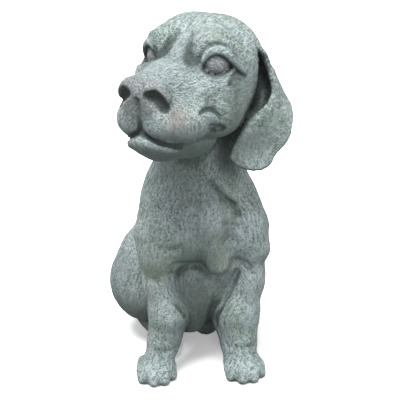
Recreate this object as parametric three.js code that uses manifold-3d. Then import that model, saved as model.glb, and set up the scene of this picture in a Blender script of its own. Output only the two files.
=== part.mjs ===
// Cast metal puppy garden statue: a sitting hound puppy with long ears, cast as one hollow piece.
// The puppy faces -Y, its left side is at +X, and it stands on the plane z = 0.
import * as THREE from 'three';
import { mergeVertices } from 'three/addons/utils/BufferGeometryUtils.js';
import Module from 'manifold-3d';

// The driving size: height of the statue from the ground to the top of the skull, in mm.
const HEIGHT = 400;
// Every form below is laid out in the form's own units, in which the top of the skull is this high.
const CROWN = 102.35;
const UNIT = HEIGHT / CROWN;

// How finely the form is sampled, in the form's units, and how many facets are kept. The form is
// first tried once for a block of cells, this many along each side.
const CELL = 1.0;
const BLOCK = 4;
const FACETS = 9200;

// Main widths and lengths of the body, in the form's units: over the ribs, over the thighs, from the
// middle of the chest back to the rump, and from the middle of the head out to the nose.
const CHEST_WIDTH = 35.6;
const HIP_WIDTH = 44.6;
const RUMP_BACK = 34;
const NOSE_REACH = 28.4;

// Where the head is set on the neck, and how it is turned to the puppy's right and lifted, in degrees.
const HEAD_AT = [-1.0, -8, 86.9];
const HEAD_YAW = 43.4;
const HEAD_PITCH = 13.4;
const HEAD_ROLL = -1.8;

// The eye: a plain ball in a hollow. Its lids run through points of the head, each with a radius.
const EYE = { middle: [8.5, -8.0, 3.6], radius: 3.7, facing: [0.6, -0.79, 0.07], hollow: [4.2, 4.2, 3.4] };
const UPPER_LID = [
  [6.6, -13.3, 1.2, 0.5], [6.9, -12.7, 3.6, 0.85], [8.4, -12.1, 6.0, 1.1], [10.6, -10.9, 7.1, 1.2],
  [12.6, -9.3, 6.1, 1.15], [13.7, -7.4, 4.2, 1.0], [14.5, -4.6, 2.4, 0.8], [14.8, -2.8, 1.6, 0.5],
];
const LOWER_LID = [
  [6.6, -13.3, 1.2, 0.5], [8.4, -12.4, 0.3, 0.7], [10.4, -11.3, -0.2, 0.8], [12.2, -9.8, 0.3, 0.75],
  [13.6, -7.6, 2.2, 0.6],
];

// Lines pressed into the head, the same on both sides: the lip line and the furrow of the brow. The
// ridge of the brow and the lower lip are raised, so their depth is below zero.
const HEAD_GROOVES = [
  {
    path: [[-0.2, -28.4, -13.8], [2.5, -27.9, -15.2], [4.6, -26.3, -16.5], [6.8, -22.6, -17.2],
      [8.7, -18.6, -16.8], [10.6, -16.6, -15.2], [11.8, -13.6, -13.6]],
    width: 0.8,
    depth: 0.9,
  },
  {
    path: [[0, -27.6, -16.2], [3.0, -26.6, -17.4], [6.2, -22.4, -18.7], [8.8, -17.6, -18.3],
      [11.0, -13.4, -15.6], [12.2, -9.6, -15.0]],
    width: 0.9,
    depth: -0.7,
  },
  {
    path: [[2.0, -10.2, 10.6], [2.5, -11.8, 8.6], [3.2, -13.3, 6.0], [4.4, -14.2, 3.2]],
    width: 0.9,
    depth: 0.7,
  },
  {
    path: [[4.7, -11.8, 9.2], [7.2, -11.5, 10.2], [9.9, -10.6, 9.6], [12.4, -8.4, 8.2]],
    width: 1.3,
    depth: -0.6,
  },
];

// Lines pressed into the body: the lower edge of the breast, the crease of the neck and the fold
// over it, the hollow beside the keel, and the edge of the fold inside the left foreleg.
const BODY_GROOVES = [
  {
    path: [[-12.9, -14.2, 31.0], [-11.2, -14.3, 32.9], [-9.2, -13.8, 34.6], [-5.3, -12.4, 34.2],
      [-2.2, -12.0, 32.6], [0.2, -12.6, 30.2], [2.8, -12.4, 28.6], [4.6, -14.2, 31.0], [6.9, -14.0, 33.6],
      [9.3, -13.5, 33.4], [11.2, -13.6, 32.2], [12.8, -13.8, 30.6]],
    width: 0.8,
    depth: 0.9,
  },
  {
    path: [[0.2, -15.8, 58.4], [2.0, -15.9, 55.4], [4.4, -15.2, 52.9], [6.6, -14.3, 50.9],
      [8.0, -14.3, 48.6]],
    width: 0.9,
    depth: 0.9,
  },
  { path: [[2.2, -15.6, 58.6], [4.6, -15.2, 55.4], [7.4, -14.2, 52.4]], width: 1.3, depth: -0.6 },
  {
    path: [[3.2, -16.4, 52.0], [3.9, -16.8, 46.0], [4.1, -16.4, 40.0], [3.9, -16.2, 35.5]],
    width: 1.4,
    depth: 0.6,
  },
  {
    path: [[8.4, -13.2, 30.4], [6.4, -13.0, 24.9], [3.9, -13.7, 20.9], [2.4, -12.9, 14.9]],
    width: 0.8,
    depth: 0.7,
  },
];

// The ear is a curled sheet of metal. It is given by rows from its lobe up to its root:
// height, distance from the middle of the head, outward slope to the back, and curl.
const EAR_THICKNESS = 1.8;
const EAR_MIDDLE = 8;
const EAR_ROWS = [
  [-26, 16.2, 0.95, 0.0], [-20, 15.5, 0.9, 0.01], [-13.5, 17.8, 0.56, 0.02], [-9, 18.5, 0.34, 0.024],
  [-6, 18.4, 0.16, 0.028], [-1, 17.8, -0.12, 0.038], [3, 16.1, -0.42, 0.045], [6, 13.9, -0.78, 0.03],
  [8.5, 11.0, -0.9, 0.03], [10, 8.9, -0.9, 0.03], [13, 4.4, -0.9, 0.03],
];
// The outline of the ear as seen from the side: height, place from front to back, and radius.
const EAR_OUTLINE = [
  [7.4, 7.4, 3.2], [4.5, 9.8, 4.0], [1, 12.2, 5.6], [-3, 13.8, 5.8], [-8.4, 11.0, 5.4], [-13, 8.2, 6.5],
  [-20.4, 6.7, 4.4],
];
// The hollow in the head behind the ear's front rim: points and radius.
const EAR_HOLLOW = [
  [12.9, 5.4, 9.4, 1.0], [14.0, 6.2, 7.2, 2.4], [15.0, 7.2, 3.0, 3.0], [15.6, 8.4, -2.0, 2.6],
  [15.0, 6.6, -8.0, 1.4],
];
// The fold behind the front rim of the ear, which closes it against the head: points and radius.
const EAR_FOLD = [
  [8.4, 11.6, 5.0, 3.0], [11.0, 13.4, 0.0, 4.0], [12.0, 13.0, -6, 4.0], [13.4, 9.6, -10.5, 2.8],
  [12.8, 5.8, -11.4, 2.3], [10.2, 7.6, -15.2, 3.4],
];
// The ear on the far side hangs closer in and a little higher.
const FAR_EAR_TUCK = 0.12;
const FAR_EAR_LIFT = 0.12;
const FAR_EAR_TOP = 8;

// The forelegs: the line of each limb from shoulder to ankle with its radii, and the middle of the paw.
const LEFT = 1;
const RIGHT = -1;
const FORELEGS = {
  [RIGHT]: {
    line: [[-12.2, -6, 41, 7], [-12.9, -8.8, 27.5, 4.0], [-10.4, -10.4, 18.5, 5.2], [-11.8, -10.6, 11.5, 4.1],
      [-13.6, -12, 6, 4.2]],
    paw: [-15.0, -13.6],
    spread: 1.08,
  },
  [LEFT]: {
    line: [[12.2, -6, 41, 7], [11.6, -9, 26, 5.2], [8.6, -10.5, 16.5, 6.4], [8.9, -13, 9.5, 4.6],
      [8.8, -15, 5.5, 4.5]],
    paw: [9.4, -18],
    spread: 1.12,
  },
};
// Toes of a paw: sideways place and how far each stands forward.
const TOES = [[-3.7, -0.9], [-1.35, 1.5], [1.35, 1.5], [3.7, -0.9]];

// The hind feet are tucked in behind the forelegs: from the hock to the toes, points and radius.
const HIND_FEET = [
  [[12.5, 14, 7.0, 5.4], [13.6, 8, 3.4, 3.8], [12.2, 0, 2.4, 3.4]],
  [[-9.5, 14, 7.0, 5.4], [-7.6, 8, 3.4, 3.8], [-9.2, 0, 2.4, 3.4]],
];
// The tail lies round on the ground to the puppy's left: points and radius.
const TAIL = [
  [0, RUMP_BACK - 4, 9, 4.4], [3, RUMP_BACK + 0.5, 4.5, 3.8], [8.5, RUMP_BACK + 1.5, 3.0, 3.2],
  [14, RUMP_BACK - 1.5, 2.5, 2.8], [18.5, RUMP_BACK - 7, 2.2, 2.4], [21, RUMP_BACK - 13, 1.8, 1.9],
];

// Small vector helpers.
const add = (a, b) => a.map((value, i) => value + b[i]);
const scale = (a, s) => a.map((value) => value * s);
const lerp = (a, b, t) => a + (b - a) * t;

// A smooth union: where two forms meet, the seam is filled over a width k.
const join = (k, ...forms) => (x, y, z) => {
  let d = forms[0](x, y, z);
  for (let i = 1; i < forms.length; i += 1) {
    const e = forms[i](x, y, z);
    const h = Math.max(k - Math.abs(d - e), 0) / k;
    d = Math.min(d, e) - h * h * k * 0.25;
  }
  return d;
};

// A smooth cut: the second form is taken out of the first.
const cut = (k, form, tool) => (x, y, z) => {
  const d = form(x, y, z);
  const e = -tool(x, y, z);
  const h = Math.max(k - Math.abs(d - e), 0) / k;
  return Math.max(d, e) + h * h * k * 0.25;
};

// An ellipsoid by its middle and its three radii.
const egg = ([cx, cy, cz], [rx, ry, rz]) => (x, y, z) => {
  const ux = (x - cx) / rx;
  const uy = (y - cy) / ry;
  const uz = (z - cz) / rz;
  const k0 = Math.sqrt(ux * ux + uy * uy + uz * uz);
  const k1 = Math.sqrt((ux / rx) ** 2 + (uy / ry) ** 2 + (uz / rz) ** 2);
  return k1 > 1e-9 ? (k0 * (k0 - 1)) / k1 : -Math.min(rx, ry, rz);
};

// A limb: a chain of round cones through the points, with a radius at each point.
const limb = (k, points, radii) => {
  const parts = points.slice(1).map((b, i) => {
    const a = points[i];
    const [vx, vy, vz] = [b[0] - a[0], b[1] - a[1], b[2] - a[2]];
    const square = vx * vx + vy * vy + vz * vz;
    return (x, y, z) => {
      const [px, py, pz] = [x - a[0], y - a[1], z - a[2]];
      const t = Math.min(Math.max((px * vx + py * vy + pz * vz) / square, 0), 1);
      return Math.hypot(px - vx * t, py - vy * t, pz - vz * t) - lerp(radii[i], radii[i + 1], t);
    };
  });
  return parts.length > 1 ? join(k, ...parts) : parts[0];
};

// A limb from rows of a point and its radius. A smooth one is bent through its points.
const limbOf = (k, rows) => limb(k, rows.map((row) => row.slice(0, 3)), rows.map((row) => row[3]));
const BENDS = 3;
const smoothPath = (path) => {
  const spots = path.map((spot) => new THREE.Vector3(...spot));
  const curve = new THREE.CatmullRomCurve3(spots, false, 'catmullrom');
  return curve.getPoints(BENDS * (path.length - 1)).map((spot) => spot.toArray());
};
const smoothLimb = (rows) => {
  const path = smoothPath(rows.map((row) => row.slice(0, 3)));
  return limb(0.3, path, path.map((spot, i) => {
    const row = Math.min(Math.floor(i / BENDS), rows.length - 2);
    return lerp(rows[row][3], rows[row + 1][3], i / BENDS - row);
  }));
};

// A form with soft lines pressed in, or raised where their depth is below zero.
const carved = (form, grooves) => {
  const tools = grooves.map(({ path, width, depth }) => {
    const line = limb(0.01, smoothPath(path), smoothPath(path).map(() => 0));
    const reach = 2.6 * width;
    const low = [0, 1, 2].map((axis) => Math.min(...path.map((spot) => spot[axis])) - reach);
    const high = [0, 1, 2].map((axis) => Math.max(...path.map((spot) => spot[axis])) + reach);
    return (x, y, z) => {
      if (x < low[0] || y < low[1] || z < low[2] || x > high[0] || y > high[1] || z > high[2]) return 0;
      return depth * Math.exp(-((line(x, y, z) / width) ** 2));
    };
  });
  return (x, y, z) => tools.reduce((sum, tool) => sum + tool(x, y, z), form(x, y, z));
};

// The same form on both sides of the middle plane.
const paired = (form) => (x, y, z) => form(Math.abs(x), y, z);

// A form that is only worked out close to the ball that holds it.
const within = (middle, reach, form) => (x, y, z) => {
  const gap = Math.hypot(x - middle[0], y - middle[1], z - middle[2]) - reach;
  return gap > 3 ? gap : form(x, y, z);
};

// The head's own frame: x to the puppy's left, y to the back of the head, z up.
const degrees = THREE.MathUtils.degToRad;
const headTurn = new THREE.Matrix4().makeRotationZ(-degrees(HEAD_YAW))
  .multiply(new THREE.Matrix4().makeRotationX(-degrees(HEAD_PITCH)))
  .multiply(new THREE.Matrix4().makeRotationY(degrees(HEAD_ROLL)));
const inHead = (form) => {
  const e = headTurn.elements;
  return (x, y, z) => {
    const [px, py, pz] = [x - HEAD_AT[0], y - HEAD_AT[1], z - HEAD_AT[2]];
    return form(
      e[0] * px + e[1] * py + e[2] * pz,
      e[4] * px + e[5] * py + e[6] * pz,
      e[8] * px + e[9] * py + e[10] * pz,
    );
  };
};
const headPoint = (local) => new THREE.Vector3(...local).applyMatrix4(headTurn).toArray()
  .map((value, i) => value + HEAD_AT[i]);

// Skull, brows, cheeks and cheekbones.
function skull() {
  const crown = join(4, egg([0, 2.2, 2.6], [14.6, 15.0, 12.8]), egg([0, 6, 0], [12.4, 10.5, 12.5]));
  const broad = join(4, crown, paired(egg([4.7, 2.2, 5.2], [9.2, 11.0, 9.6])));
  const browed = join(4, broad, paired(egg([7.2, -8.0, 7.2], [4.7, 4.4, 4.5])));
  const cheekbone = limbOf(1, [[9.4, -9, -1.6, 3.8], [6.8, -14, -3.4, 3.4]]);
  return join(5, browed, paired(join(3, egg([8.0, -2.0, -6.8], [6.3, 9.8, 8.8]), cheekbone)));
}

// Muzzle with its hanging lips, the nose with two nostrils, and the groove down to the lip notch.
function muzzle() {
  const bridge = limbOf(2, [
    [0, -8, -2.2, 6.8], [0, 9.9 - NOSE_REACH, -2.8, 6.0], [0, 1.4 - NOSE_REACH, -4.2, 5.2],
  ]);
  const lips = limbOf(2, [
    [7.4, -8, -8.4, 5.4], [6.3, 10.9 - NOSE_REACH, -11.0, 5.6], [3.5, 3.8 - NOSE_REACH, -11.0, 5.2],
  ]);
  return join(5, bridge, paired(lips));
}
function nose(face) {
  const wings = join(1.5, limbOf(0.5, [[0, -NOSE_REACH, -3.2, 3.8], [3.6, 0.4 - NOSE_REACH, -3.9, 3.4]]),
    limbOf(0.5, [[4.9, 0.4 - NOSE_REACH, -5.4, 2.2], [3.4, -0.6 - NOSE_REACH, -7.6, 1.8]]));
  const pad = join(1.5, paired(wings), egg([0, 0.2 - NOSE_REACH, -7.4], [3.6, 2.9, 3.8]));
  const nostril = limbOf(0.3, [
    [2.8, -3.2 - NOSE_REACH, -4.6, 0.9], [4.5, -2.6 - NOSE_REACH, -4.8, 1.8],
    [6.0, -1.8 - NOSE_REACH, -6.0, 1.6], [6.5, -1.2 - NOSE_REACH, -7.3, 0.9],
  ]);
  const groove = limbOf(0.3, [
    [0, -3.6 - NOSE_REACH, -6.2, 0.5], [0, -2.8 - NOSE_REACH, -9.6, 0.6], [0, -1.6 - NOSE_REACH, -13.8, 1.0],
  ]);
  return cut(1.0, cut(0.6, join(0.7, face, pad), paired(nostril)), groove);
}

// Lower jaw and the corners of the mouth.
function jaw(face) {
  const bone = join(3, egg([0, -19.6, -16.4], [7.2, 8.8, 4.8]),
    limbOf(3, [[0, -17, -16.4, 5.6], [0, -5, -14, 8.6]]));
  const corner = paired(limbOf(0.3, [[12.2, -14.8, -13.2, 0.7], [12.6, -9.2, -13.2, 1.1]]));
  return cut(0.5, join(0.6, face, bone), corner);
}

// Eyes: a ball in a hollow, with a thick upper lid that runs on past the outer corner, and a lower lid.
function eyes(face) {
  const out = new THREE.Vector3(...EYE.facing).normalize().toArray();
  const socket = egg(add(EYE.middle, scale(out, EYE.radius)), EYE.hollow);
  const ball = egg(EYE.middle, [EYE.radius, EYE.radius, EYE.radius]);
  const set = join(0.25, cut(1.2, face, paired(socket)), paired(ball));
  return join(0.6, set, paired(smoothLimb(UPPER_LID)), paired(smoothLimb(LOWER_LID)));
}

// A smooth curve through one column of rows that rise by their first number.
const curveOf = (rows, column) => {
  const at = (i) => rows[Math.min(Math.max(i, 0), rows.length - 1)];
  const tilt = (i) => (at(i + 1)[column] - at(i - 1)[column]) / (at(i + 1)[0] - at(i - 1)[0]);
  return (place) => {
    const clamped = Math.min(Math.max(place, rows[0][0]), rows[rows.length - 1][0]);
    let i = 0;
    while (i < rows.length - 2 && rows[i + 1][0] < clamped) i += 1;
    const width = rows[i + 1][0] - rows[i][0];
    const t = (clamped - rows[i][0]) / width;
    const [start, end] = [rows[i][column], rows[i + 1][column]];
    const rise = end - start;
    const [a, b] = [tilt(i) * width - rise, rise - tilt(i + 1) * width];
    return start + rise * t + t * (1 - t) * (a * (1 - t) + b * t);
  };
};

// One ear: a sheet that stands off the head by its rows, trimmed to its outline, with a round edge.
function ear(side) {
  const [reach, slope, curl] = [1, 2, 3].map((column) => curveOf(EAR_ROWS, column));
  const outline = limb(1.5, EAR_OUTLINE.map(([z, y]) => [0, y, z]), EAR_OUTLINE.map((row) => row[2]));
  const fold = limbOf(1.5, EAR_FOLD);
  const step = 0.05;
  const edge = 1.3;
  const sheet = (y, z) => {
    const back = y - EAR_MIDDLE;
    return reach(z) + slope(z) * back - curl(z) * back * back;
  };
  const trimmed = (x, y, z) => {
    const at = sheet(y, z);
    const steepness = Math.hypot(1, (sheet(y + step, z) - at) / step, (sheet(y, z + step) - at) / step);
    const across = Math.abs(x - at) / steepness - EAR_THICKNESS / 2;
    const along = outline(0, y, z);
    const h = Math.max(edge - Math.abs(across - along), 0) / edge;
    return Math.max(across, along) + h * h * edge * 0.25;
  };
  const whole = join(1, trimmed, fold);
  return (x, y, z) => {
    const drop = side === RIGHT ? Math.max(FAR_EAR_TOP - z, 0) : 0;
    return whole(x * side + drop * FAR_EAR_TUCK, y, z - drop * FAR_EAR_LIFT);
  };
}

// Chest with its keel and breast, shoulders, neck, back and belly.
function torso() {
  const flank = CHEST_WIDTH / 2;
  const ribs = join(4, egg([0, -2.5, 47], [flank - 3, 13.2, 18]),
    paired(egg([flank - 6.9, -5, 41.5], [6.9, 8.5, 12.5])));
  const neck = limbOf(3, [[0, 0, 50, 13.0], [-0.4, -3.5, 62, 10.4], [-1.2, -4.5, 75, 9.0]]);
  const back = limbOf(4, [[0, 3, 48, 13.0], [0, RUMP_BACK - 24, 36, 14], [0, RUMP_BACK - 17, 23, 14.5]]);
  const keel = limbOf(2, [[-1.0, -11, 58, 4.5], [1.0, -13, 46, 4.5], [2.5, -13.0, 34.4, 3.5]]);
  const breasts = join(1, egg([-7.0, -9.0, 42.5], [8.4, 6.8, 9.0]), egg([9.5, -9.0, 42.0], [7.4, 6.6, 8.6]));
  const tufts = join(1, egg([4.8 - flank, -9.2, 35.5], [5.0, 4.6, 6.5]),
    egg([flank - 3.6, -9, 35.2], [4.6, 4.8, 4.6]));
  const chest = join(2.5, join(5, ribs, neck), keel, breasts, tufts);
  const belly = join(1.5, limbOf(2, [[0, -1, 32, 10.4], [0.8, 1.5, 19, 8.4], [2.0, 8, 8, 4.3]]),
    egg([-3.4, -5.4, 23.5], [9.2, 7.5, 13.8]),
    limbOf(2, [[6.2, -9.0, 33, 4.8], [5.2, -6.4, 22, 4.5], [3.4, 2.5, 8, 3.8]]));
  return join(0.8, join(5, chest, back), belly);
}

// Rump, thighs, hind feet and the tail that lies round to the puppy's left.
function hindquarters() {
  const hip = HIP_WIDTH / 2;
  const thighs = join(4, paired(egg([hip - 9.9, RUMP_BACK - 20, 17.8], [9.9, 13, 11.4])),
    paired(egg([hip - 11.9, RUMP_BACK - 22, 27.4], [9.0, 10, 8.6])),
    egg([0, RUMP_BACK - 13, 13], [hip - 8.3, 13, 14.6]));
  const feet = join(0.5, ...HIND_FEET.map((rows) => limbOf(2, rows)));
  return join(2, join(2, thighs, feet), limbOf(2, TAIL));
}

// A foreleg with its paw and four toes.
function foreleg(side) {
  const { line, paw, spread } = FORELEGS[side];
  const pad = egg([paw[0], paw[1] + 1, 2.6], [4.7 * spread, 6.0, 3.9]);
  const toes = TOES.map(([across, forward]) => {
    const [x, y] = [across * spread, paw[1] - forward];
    return limbOf(0.5, [
      [paw[0] + x * 0.75, y + 3, 4.2, 1.4 * spread],
      [paw[0] + x, y - 0.8, 3.2, 1.5 * spread],
      [paw[0] + x * 1.02, y - 2.3, 1.4, 1.4 * spread],
    ]);
  });
  return join(0.8, join(2, limbOf(3, line), pad), join(0.2, ...toes));
}

// The whole puppy as one form.
function puppy() {
  const face = cut(0.6, eyes(jaw(nose(join(6, skull(), muzzle())))), paired(limbOf(1, EAR_HOLLOW)));
  const head = inHead(paired(carved(face, HEAD_GROOVES)));
  let form = join(2.5, torso(), hindquarters());
  for (const side of [RIGHT, LEFT]) {
    form = join(0.9, form, within([11 * side, -11, 20], 27, foreleg(side)));
  }
  form = carved(form, BODY_GROOVES);
  form = join(2, form, within(headPoint([0, -6, 0]), 32, head));
  for (const side of [RIGHT, LEFT]) {
    form = join(1.2, form, within(headPoint([17 * side, 10, -6]), 24, inHead(ear(side))));
  }
  return form;
}

// The box that is searched for the surface, lowest and highest corner.
const SEARCH_LOW = [-30, -42, -3];
const SEARCH_HIGH = [34, 46, 105];

// Corners of a cell, its twelve edges by their end corners, and its six faces by corners in order.
const CORNERS = [0, 1, 2, 3, 4, 5, 6, 7].map((i) => [i & 1, (i >> 1) & 1, (i >> 2) & 1]);
const FACES = [[0, 4, 6, 2], [1, 3, 7, 5], [0, 1, 5, 4], [2, 6, 7, 3], [0, 2, 3, 1], [4, 5, 7, 6]];

// Values of the form at the grid's points. Blocks far from the surface keep their coarse value.
function sampleForm(form, counts) {
  const [nx, ny, nz] = counts;
  const values = new Float64Array(nx * ny * nz);
  const place = (i, axis) => SEARCH_LOW[axis] + i * CELL;
  const reach = CELL * BLOCK * 1.75;
  for (let bz = 0; bz < nz; bz += BLOCK) {
    for (let by = 0; by < ny; by += BLOCK) {
      for (let bx = 0; bx < nx; bx += BLOCK) {
        const half = BLOCK / 2;
        const coarse = form(place(bx + half, 0), place(by + half, 1), place(bz + half, 2));
        const close = Math.abs(coarse) < reach;
        for (let z = Math.ceil(bz); z < Math.min(bz + BLOCK, nz); z += 1) {
          for (let y = Math.ceil(by); y < Math.min(by + BLOCK, ny); y += 1) {
            for (let x = Math.ceil(bx); x < Math.min(bx + BLOCK, nx); x += 1) {
              values[(z * ny + y) * nx + x] = close ? form(place(x, 0), place(y, 1), place(z, 2)) : coarse;
            }
          }
        }
      }
    }
  }
  return values;
}

// The surface as triangles with shared vertices. In each cell the crossed edges are linked face by
// face into closed rings. On a face with four crossings the inside corners are kept apart.
function skinForm(form) {
  const block = CELL * BLOCK;
  const blocks = SEARCH_HIGH.map((high, axis) => Math.ceil((high - SEARCH_LOW[axis]) / block));
  const counts = blocks.map((count) => Math.ceil(count * BLOCK) + 1);
  const [nx, ny, nz] = counts;
  const values = sampleForm(form, counts);
  const points = [];
  const crossings = new Map();
  const crossing = (a, b) => {
    const [low, high] = a < b ? [a, b] : [b, a];
    const key = low * 3 + (high - low === 1 ? 0 : high - low === nx ? 1 : 2);
    if (!crossings.has(key)) {
      const t = Math.min(Math.max(values[low] / (values[low] - values[high]), 0.02), 0.98);
      const cell = [low % nx, Math.floor(low / nx) % ny, Math.floor(low / (nx * ny))];
      cell[key % 3] += t;
      crossings.set(key, points.length);
      points.push(cell.map((value, axis) => SEARCH_LOW[axis] + value * CELL));
    }
    return crossings.get(key);
  };
  const triangles = [];
  for (let z = 0; z < nz - 1; z += 1) {
    for (let y = 0; y < ny - 1; y += 1) {
      for (let x = 0; x < nx - 1; x += 1) {
        const ids = CORNERS.map(([i, j, k]) => ((z + k) * ny + y + j) * nx + x + i);
        const inside = ids.map((id) => values[id] < 0);
        if (inside.every((value) => value === inside[0])) continue;
        const next = new Map();
        for (const face of FACES) {
          for (let i = 0; i < 4; i += 1) {
            // A run of inside corners starts at corner i: the ring enters before it and leaves after it.
            const before = face[(i + 3) % 4];
            if (!inside[face[i]] || inside[before]) continue;
            let j = i;
            while (inside[face[(j + 1) % 4]]) j += 1;
            const from = crossing(ids[face[j % 4]], ids[face[(j + 1) % 4]]);
            next.set(from, crossing(ids[before], ids[face[i]]));
          }
        }
        while (next.size) {
          const [start] = next.keys();
          const ring = [];
          for (let at = start; next.has(at);) {
            ring.push(at);
            const after = next.get(at);
            next.delete(at);
            at = after;
          }
          for (let i = 2; i < ring.length; i += 1) triangles.push([ring[0], ring[i], ring[i - 1]]);
        }
      }
    }
  }
  return { points, triangles };
}

// Only the outer skin is kept, so that no bubble stays sealed in the metal.
function outerSkin({ points, triangles }) {
  const root = points.map((_, i) => i);
  const find = (v) => {
    let at = v;
    while (root[at] !== at) {
      root[at] = root[root[at]];
      at = root[at];
    }
    return at;
  };
  triangles.forEach(([a, b, c]) => {
    root[find(b)] = find(a);
    root[find(c)] = find(a);
  });
  const sizes = new Map();
  triangles.forEach(([a]) => sizes.set(find(a), (sizes.get(find(a)) ?? 0) + 1));
  const [outer] = [...sizes].reduce((one, other) => (other[1] > one[1] ? other : one));
  return { points, triangles: triangles.filter(([a]) => find(a) === outer) };
}

// Sum of squared distances to planes, as the ten numbers of a symmetric 4 x 4 matrix.
const planeError = ([a, b, c], d, weight) => [
  a * a, a * b, a * c, a * d, b * b, b * c, b * d, c * c, c * d, d * d,
].map((value) => value * weight);
const errorAt = (q, [x, y, z]) => q[0] * x * x + 2 * q[1] * x * y + 2 * q[2] * x * z + 2 * q[3] * x
  + q[4] * y * y + 2 * q[5] * y * z + 2 * q[6] * y + q[7] * z * z + 2 * q[8] * z + q[9];

// Facet normal, as long as twice the facet's area.
function facetNormal(a, b, c) {
  const [ux, uy, uz] = [b[0] - a[0], b[1] - a[1], b[2] - a[2]];
  const [vx, vy, vz] = [c[0] - a[0], c[1] - a[1], c[2] - a[2]];
  return [uy * vz - uz * vy, uz * vx - ux * vz, ux * vy - uy * vx];
}

// A heap that gives back the entry of least cost.
class LeastFirst {
  constructor() {
    this.entries = [];
  }

  push(entry) {
    const list = this.entries;
    let i = list.push(entry) - 1;
    while (i > 0 && list[(i - 1) >> 1].cost > entry.cost) {
      list[i] = list[(i - 1) >> 1];
      i = (i - 1) >> 1;
    }
    list[i] = entry;
  }

  pop() {
    const list = this.entries;
    const top = list[0];
    const last = list.pop();
    if (!list.length) return top;
    let i = 0;
    for (;;) {
      let child = 2 * i + 1;
      if (child >= list.length) break;
      if (child + 1 < list.length && list[child + 1].cost < list[child].cost) child += 1;
      if (list[child].cost >= last.cost) break;
      list[i] = list[child];
      i = child;
    }
    list[i] = last;
    return top;
  }
}

// Fewer, larger facets where the form is plain. An edge is drawn together to one point when that
// moves the surface least, keeps it one closed sheet and turns no facet over.
function simplify({ points, triangles }, count) {
  const faces = triangles.map((triangle) => [...triangle]);
  const around = points.map(() => new Set());
  const errors = points.map(() => new Array(10).fill(0));
  const stamps = new Uint32Array(points.length);
  faces.forEach((face, f) => {
    const normal = facetNormal(...face.map((v) => points[v]));
    const size = Math.hypot(...normal);
    face.forEach((v) => around[v].add(f));
    if (size < 1e-9) return;
    const unit = normal.map((value) => value / size);
    const origin = points[face[0]];
    const d = -(unit[0] * origin[0] + unit[1] * origin[1] + unit[2] * origin[2]);
    const error = planeError(unit, d, size);
    face.forEach((v) => error.forEach((value, i) => { errors[v][i] += value; }));
  });
  const neighbours = (v) => {
    const found = new Set();
    around[v].forEach((f) => faces[f].forEach((w) => { if (w !== v) found.add(w); }));
    return found;
  };
  const heap = new LeastFirst();
  const propose = (a, b) => {
    const total = errors[a].map((value, i) => value + errors[b][i]);
    const middle = points[a].map((value, i) => (value + points[b][i]) / 2);
    const best = [middle, points[a], points[b]].map((point) => ({ point, cost: errorAt(total, point) }))
      .reduce((one, other) => (other.cost < one.cost ? other : one));
    const length = Math.hypot(...points[a].map((value, i) => value - points[b][i]));
    const cost = Math.max(best.cost, 0) + 1e-4 * length * length;
    heap.push({ cost, a, b, point: best.point, stamp: stamps[a] + stamps[b] });
  };
  faces.forEach((face) => face.forEach((v, i) => {
    const w = face[(i + 1) % 3];
    if (v < w) propose(v, w);
  }));
  let left = faces.length;
  const turnsOver = (v, other, point) => [...around[v]].some((f) => {
    if (faces[f].includes(other)) return false;
    const before = facetNormal(...faces[f].map((w) => points[w]));
    const after = facetNormal(...faces[f].map((w) => (w === v ? point : points[w])));
    const dot = before[0] * after[0] + before[1] * after[1] + before[2] * after[2];
    return dot < 0.3 * Math.hypot(...before) * Math.hypot(...after) || Math.hypot(...after) < 1e-3;
  });
  while (left > count && heap.entries.length) {
    const { a, b, point, stamp } = heap.pop();
    if (stamp !== stamps[a] + stamps[b] || !around[a].size || !around[b].size) continue;
    const shared = [...around[a]].filter((f) => around[b].has(f));
    if (shared.length !== 2) continue;
    const ringB = neighbours(b);
    const common = [...neighbours(a)].filter((v) => ringB.has(v));
    if (common.length !== 2 || around[a].size + around[b].size < 8) continue;
    if (common.some((v) => around[v].size < 4)) continue;
    if (turnsOver(a, b, point) || turnsOver(b, a, point)) continue;
    shared.forEach((f) => faces[f].forEach((v) => around[v].delete(f)));
    around[b].forEach((f) => {
      faces[f][faces[f].indexOf(b)] = a;
      around[a].add(f);
    });
    around[b].clear();
    points[a] = point;
    errors[a] = errors[a].map((value, i) => value + errors[b][i]);
    shared.forEach((f) => { faces[f] = null; });
    left -= 2;
    const ring = neighbours(a);
    stamps[a] += 1;
    stamps[b] += 1;
    ring.forEach((v) => propose(a, v));
  }
  return { points, triangles: faces.filter((face) => face) };
}

const { points, triangles } = simplify(outerSkin(skinForm(puppy())), FACETS);

// The statue stands on three flat undersides: everything below the ground plane is cut away.
const wasm = await Module();
wasm.setup();
function solidOf(vertices, faces) {
  return new wasm.Manifold(new wasm.Mesh({
    numProp: 3,
    vertProperties: new Float32Array(vertices.flat()),
    triVerts: new Uint32Array(faces.flat()),
  }));
}
const GROUND_DEPTH = 20;
const GROUND_WIDTH = 120;
const block = new THREE.BoxGeometry(GROUND_WIDTH, GROUND_WIDTH, GROUND_DEPTH);
block.translate(0, 0, -GROUND_DEPTH / 2);
block.deleteAttribute('normal');
block.deleteAttribute('uv');
const ground = mergeVertices(block);
const inThrees = (list) => Array.from({ length: list.length / 3 }, (_, i) => (
  [...list.slice(3 * i, 3 * i + 3)]
));
const groundPoints = inThrees(ground.getAttribute('position').array);
const groundFaces = inThrees(ground.index.array);
const used = new Map();
const keptPoints = [];
const keptFaces = triangles.map((triangle) => triangle.map((v) => {
  if (!used.has(v)) {
    used.set(v, keptPoints.length);
    keptPoints.push(points[v]);
  }
  return used.get(v);
}));
const standing = solidOf(keptPoints, keptFaces).subtract(solidOf(groundPoints, groundFaces));
const { vertProperties, triVerts } = standing.getMesh();

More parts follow.
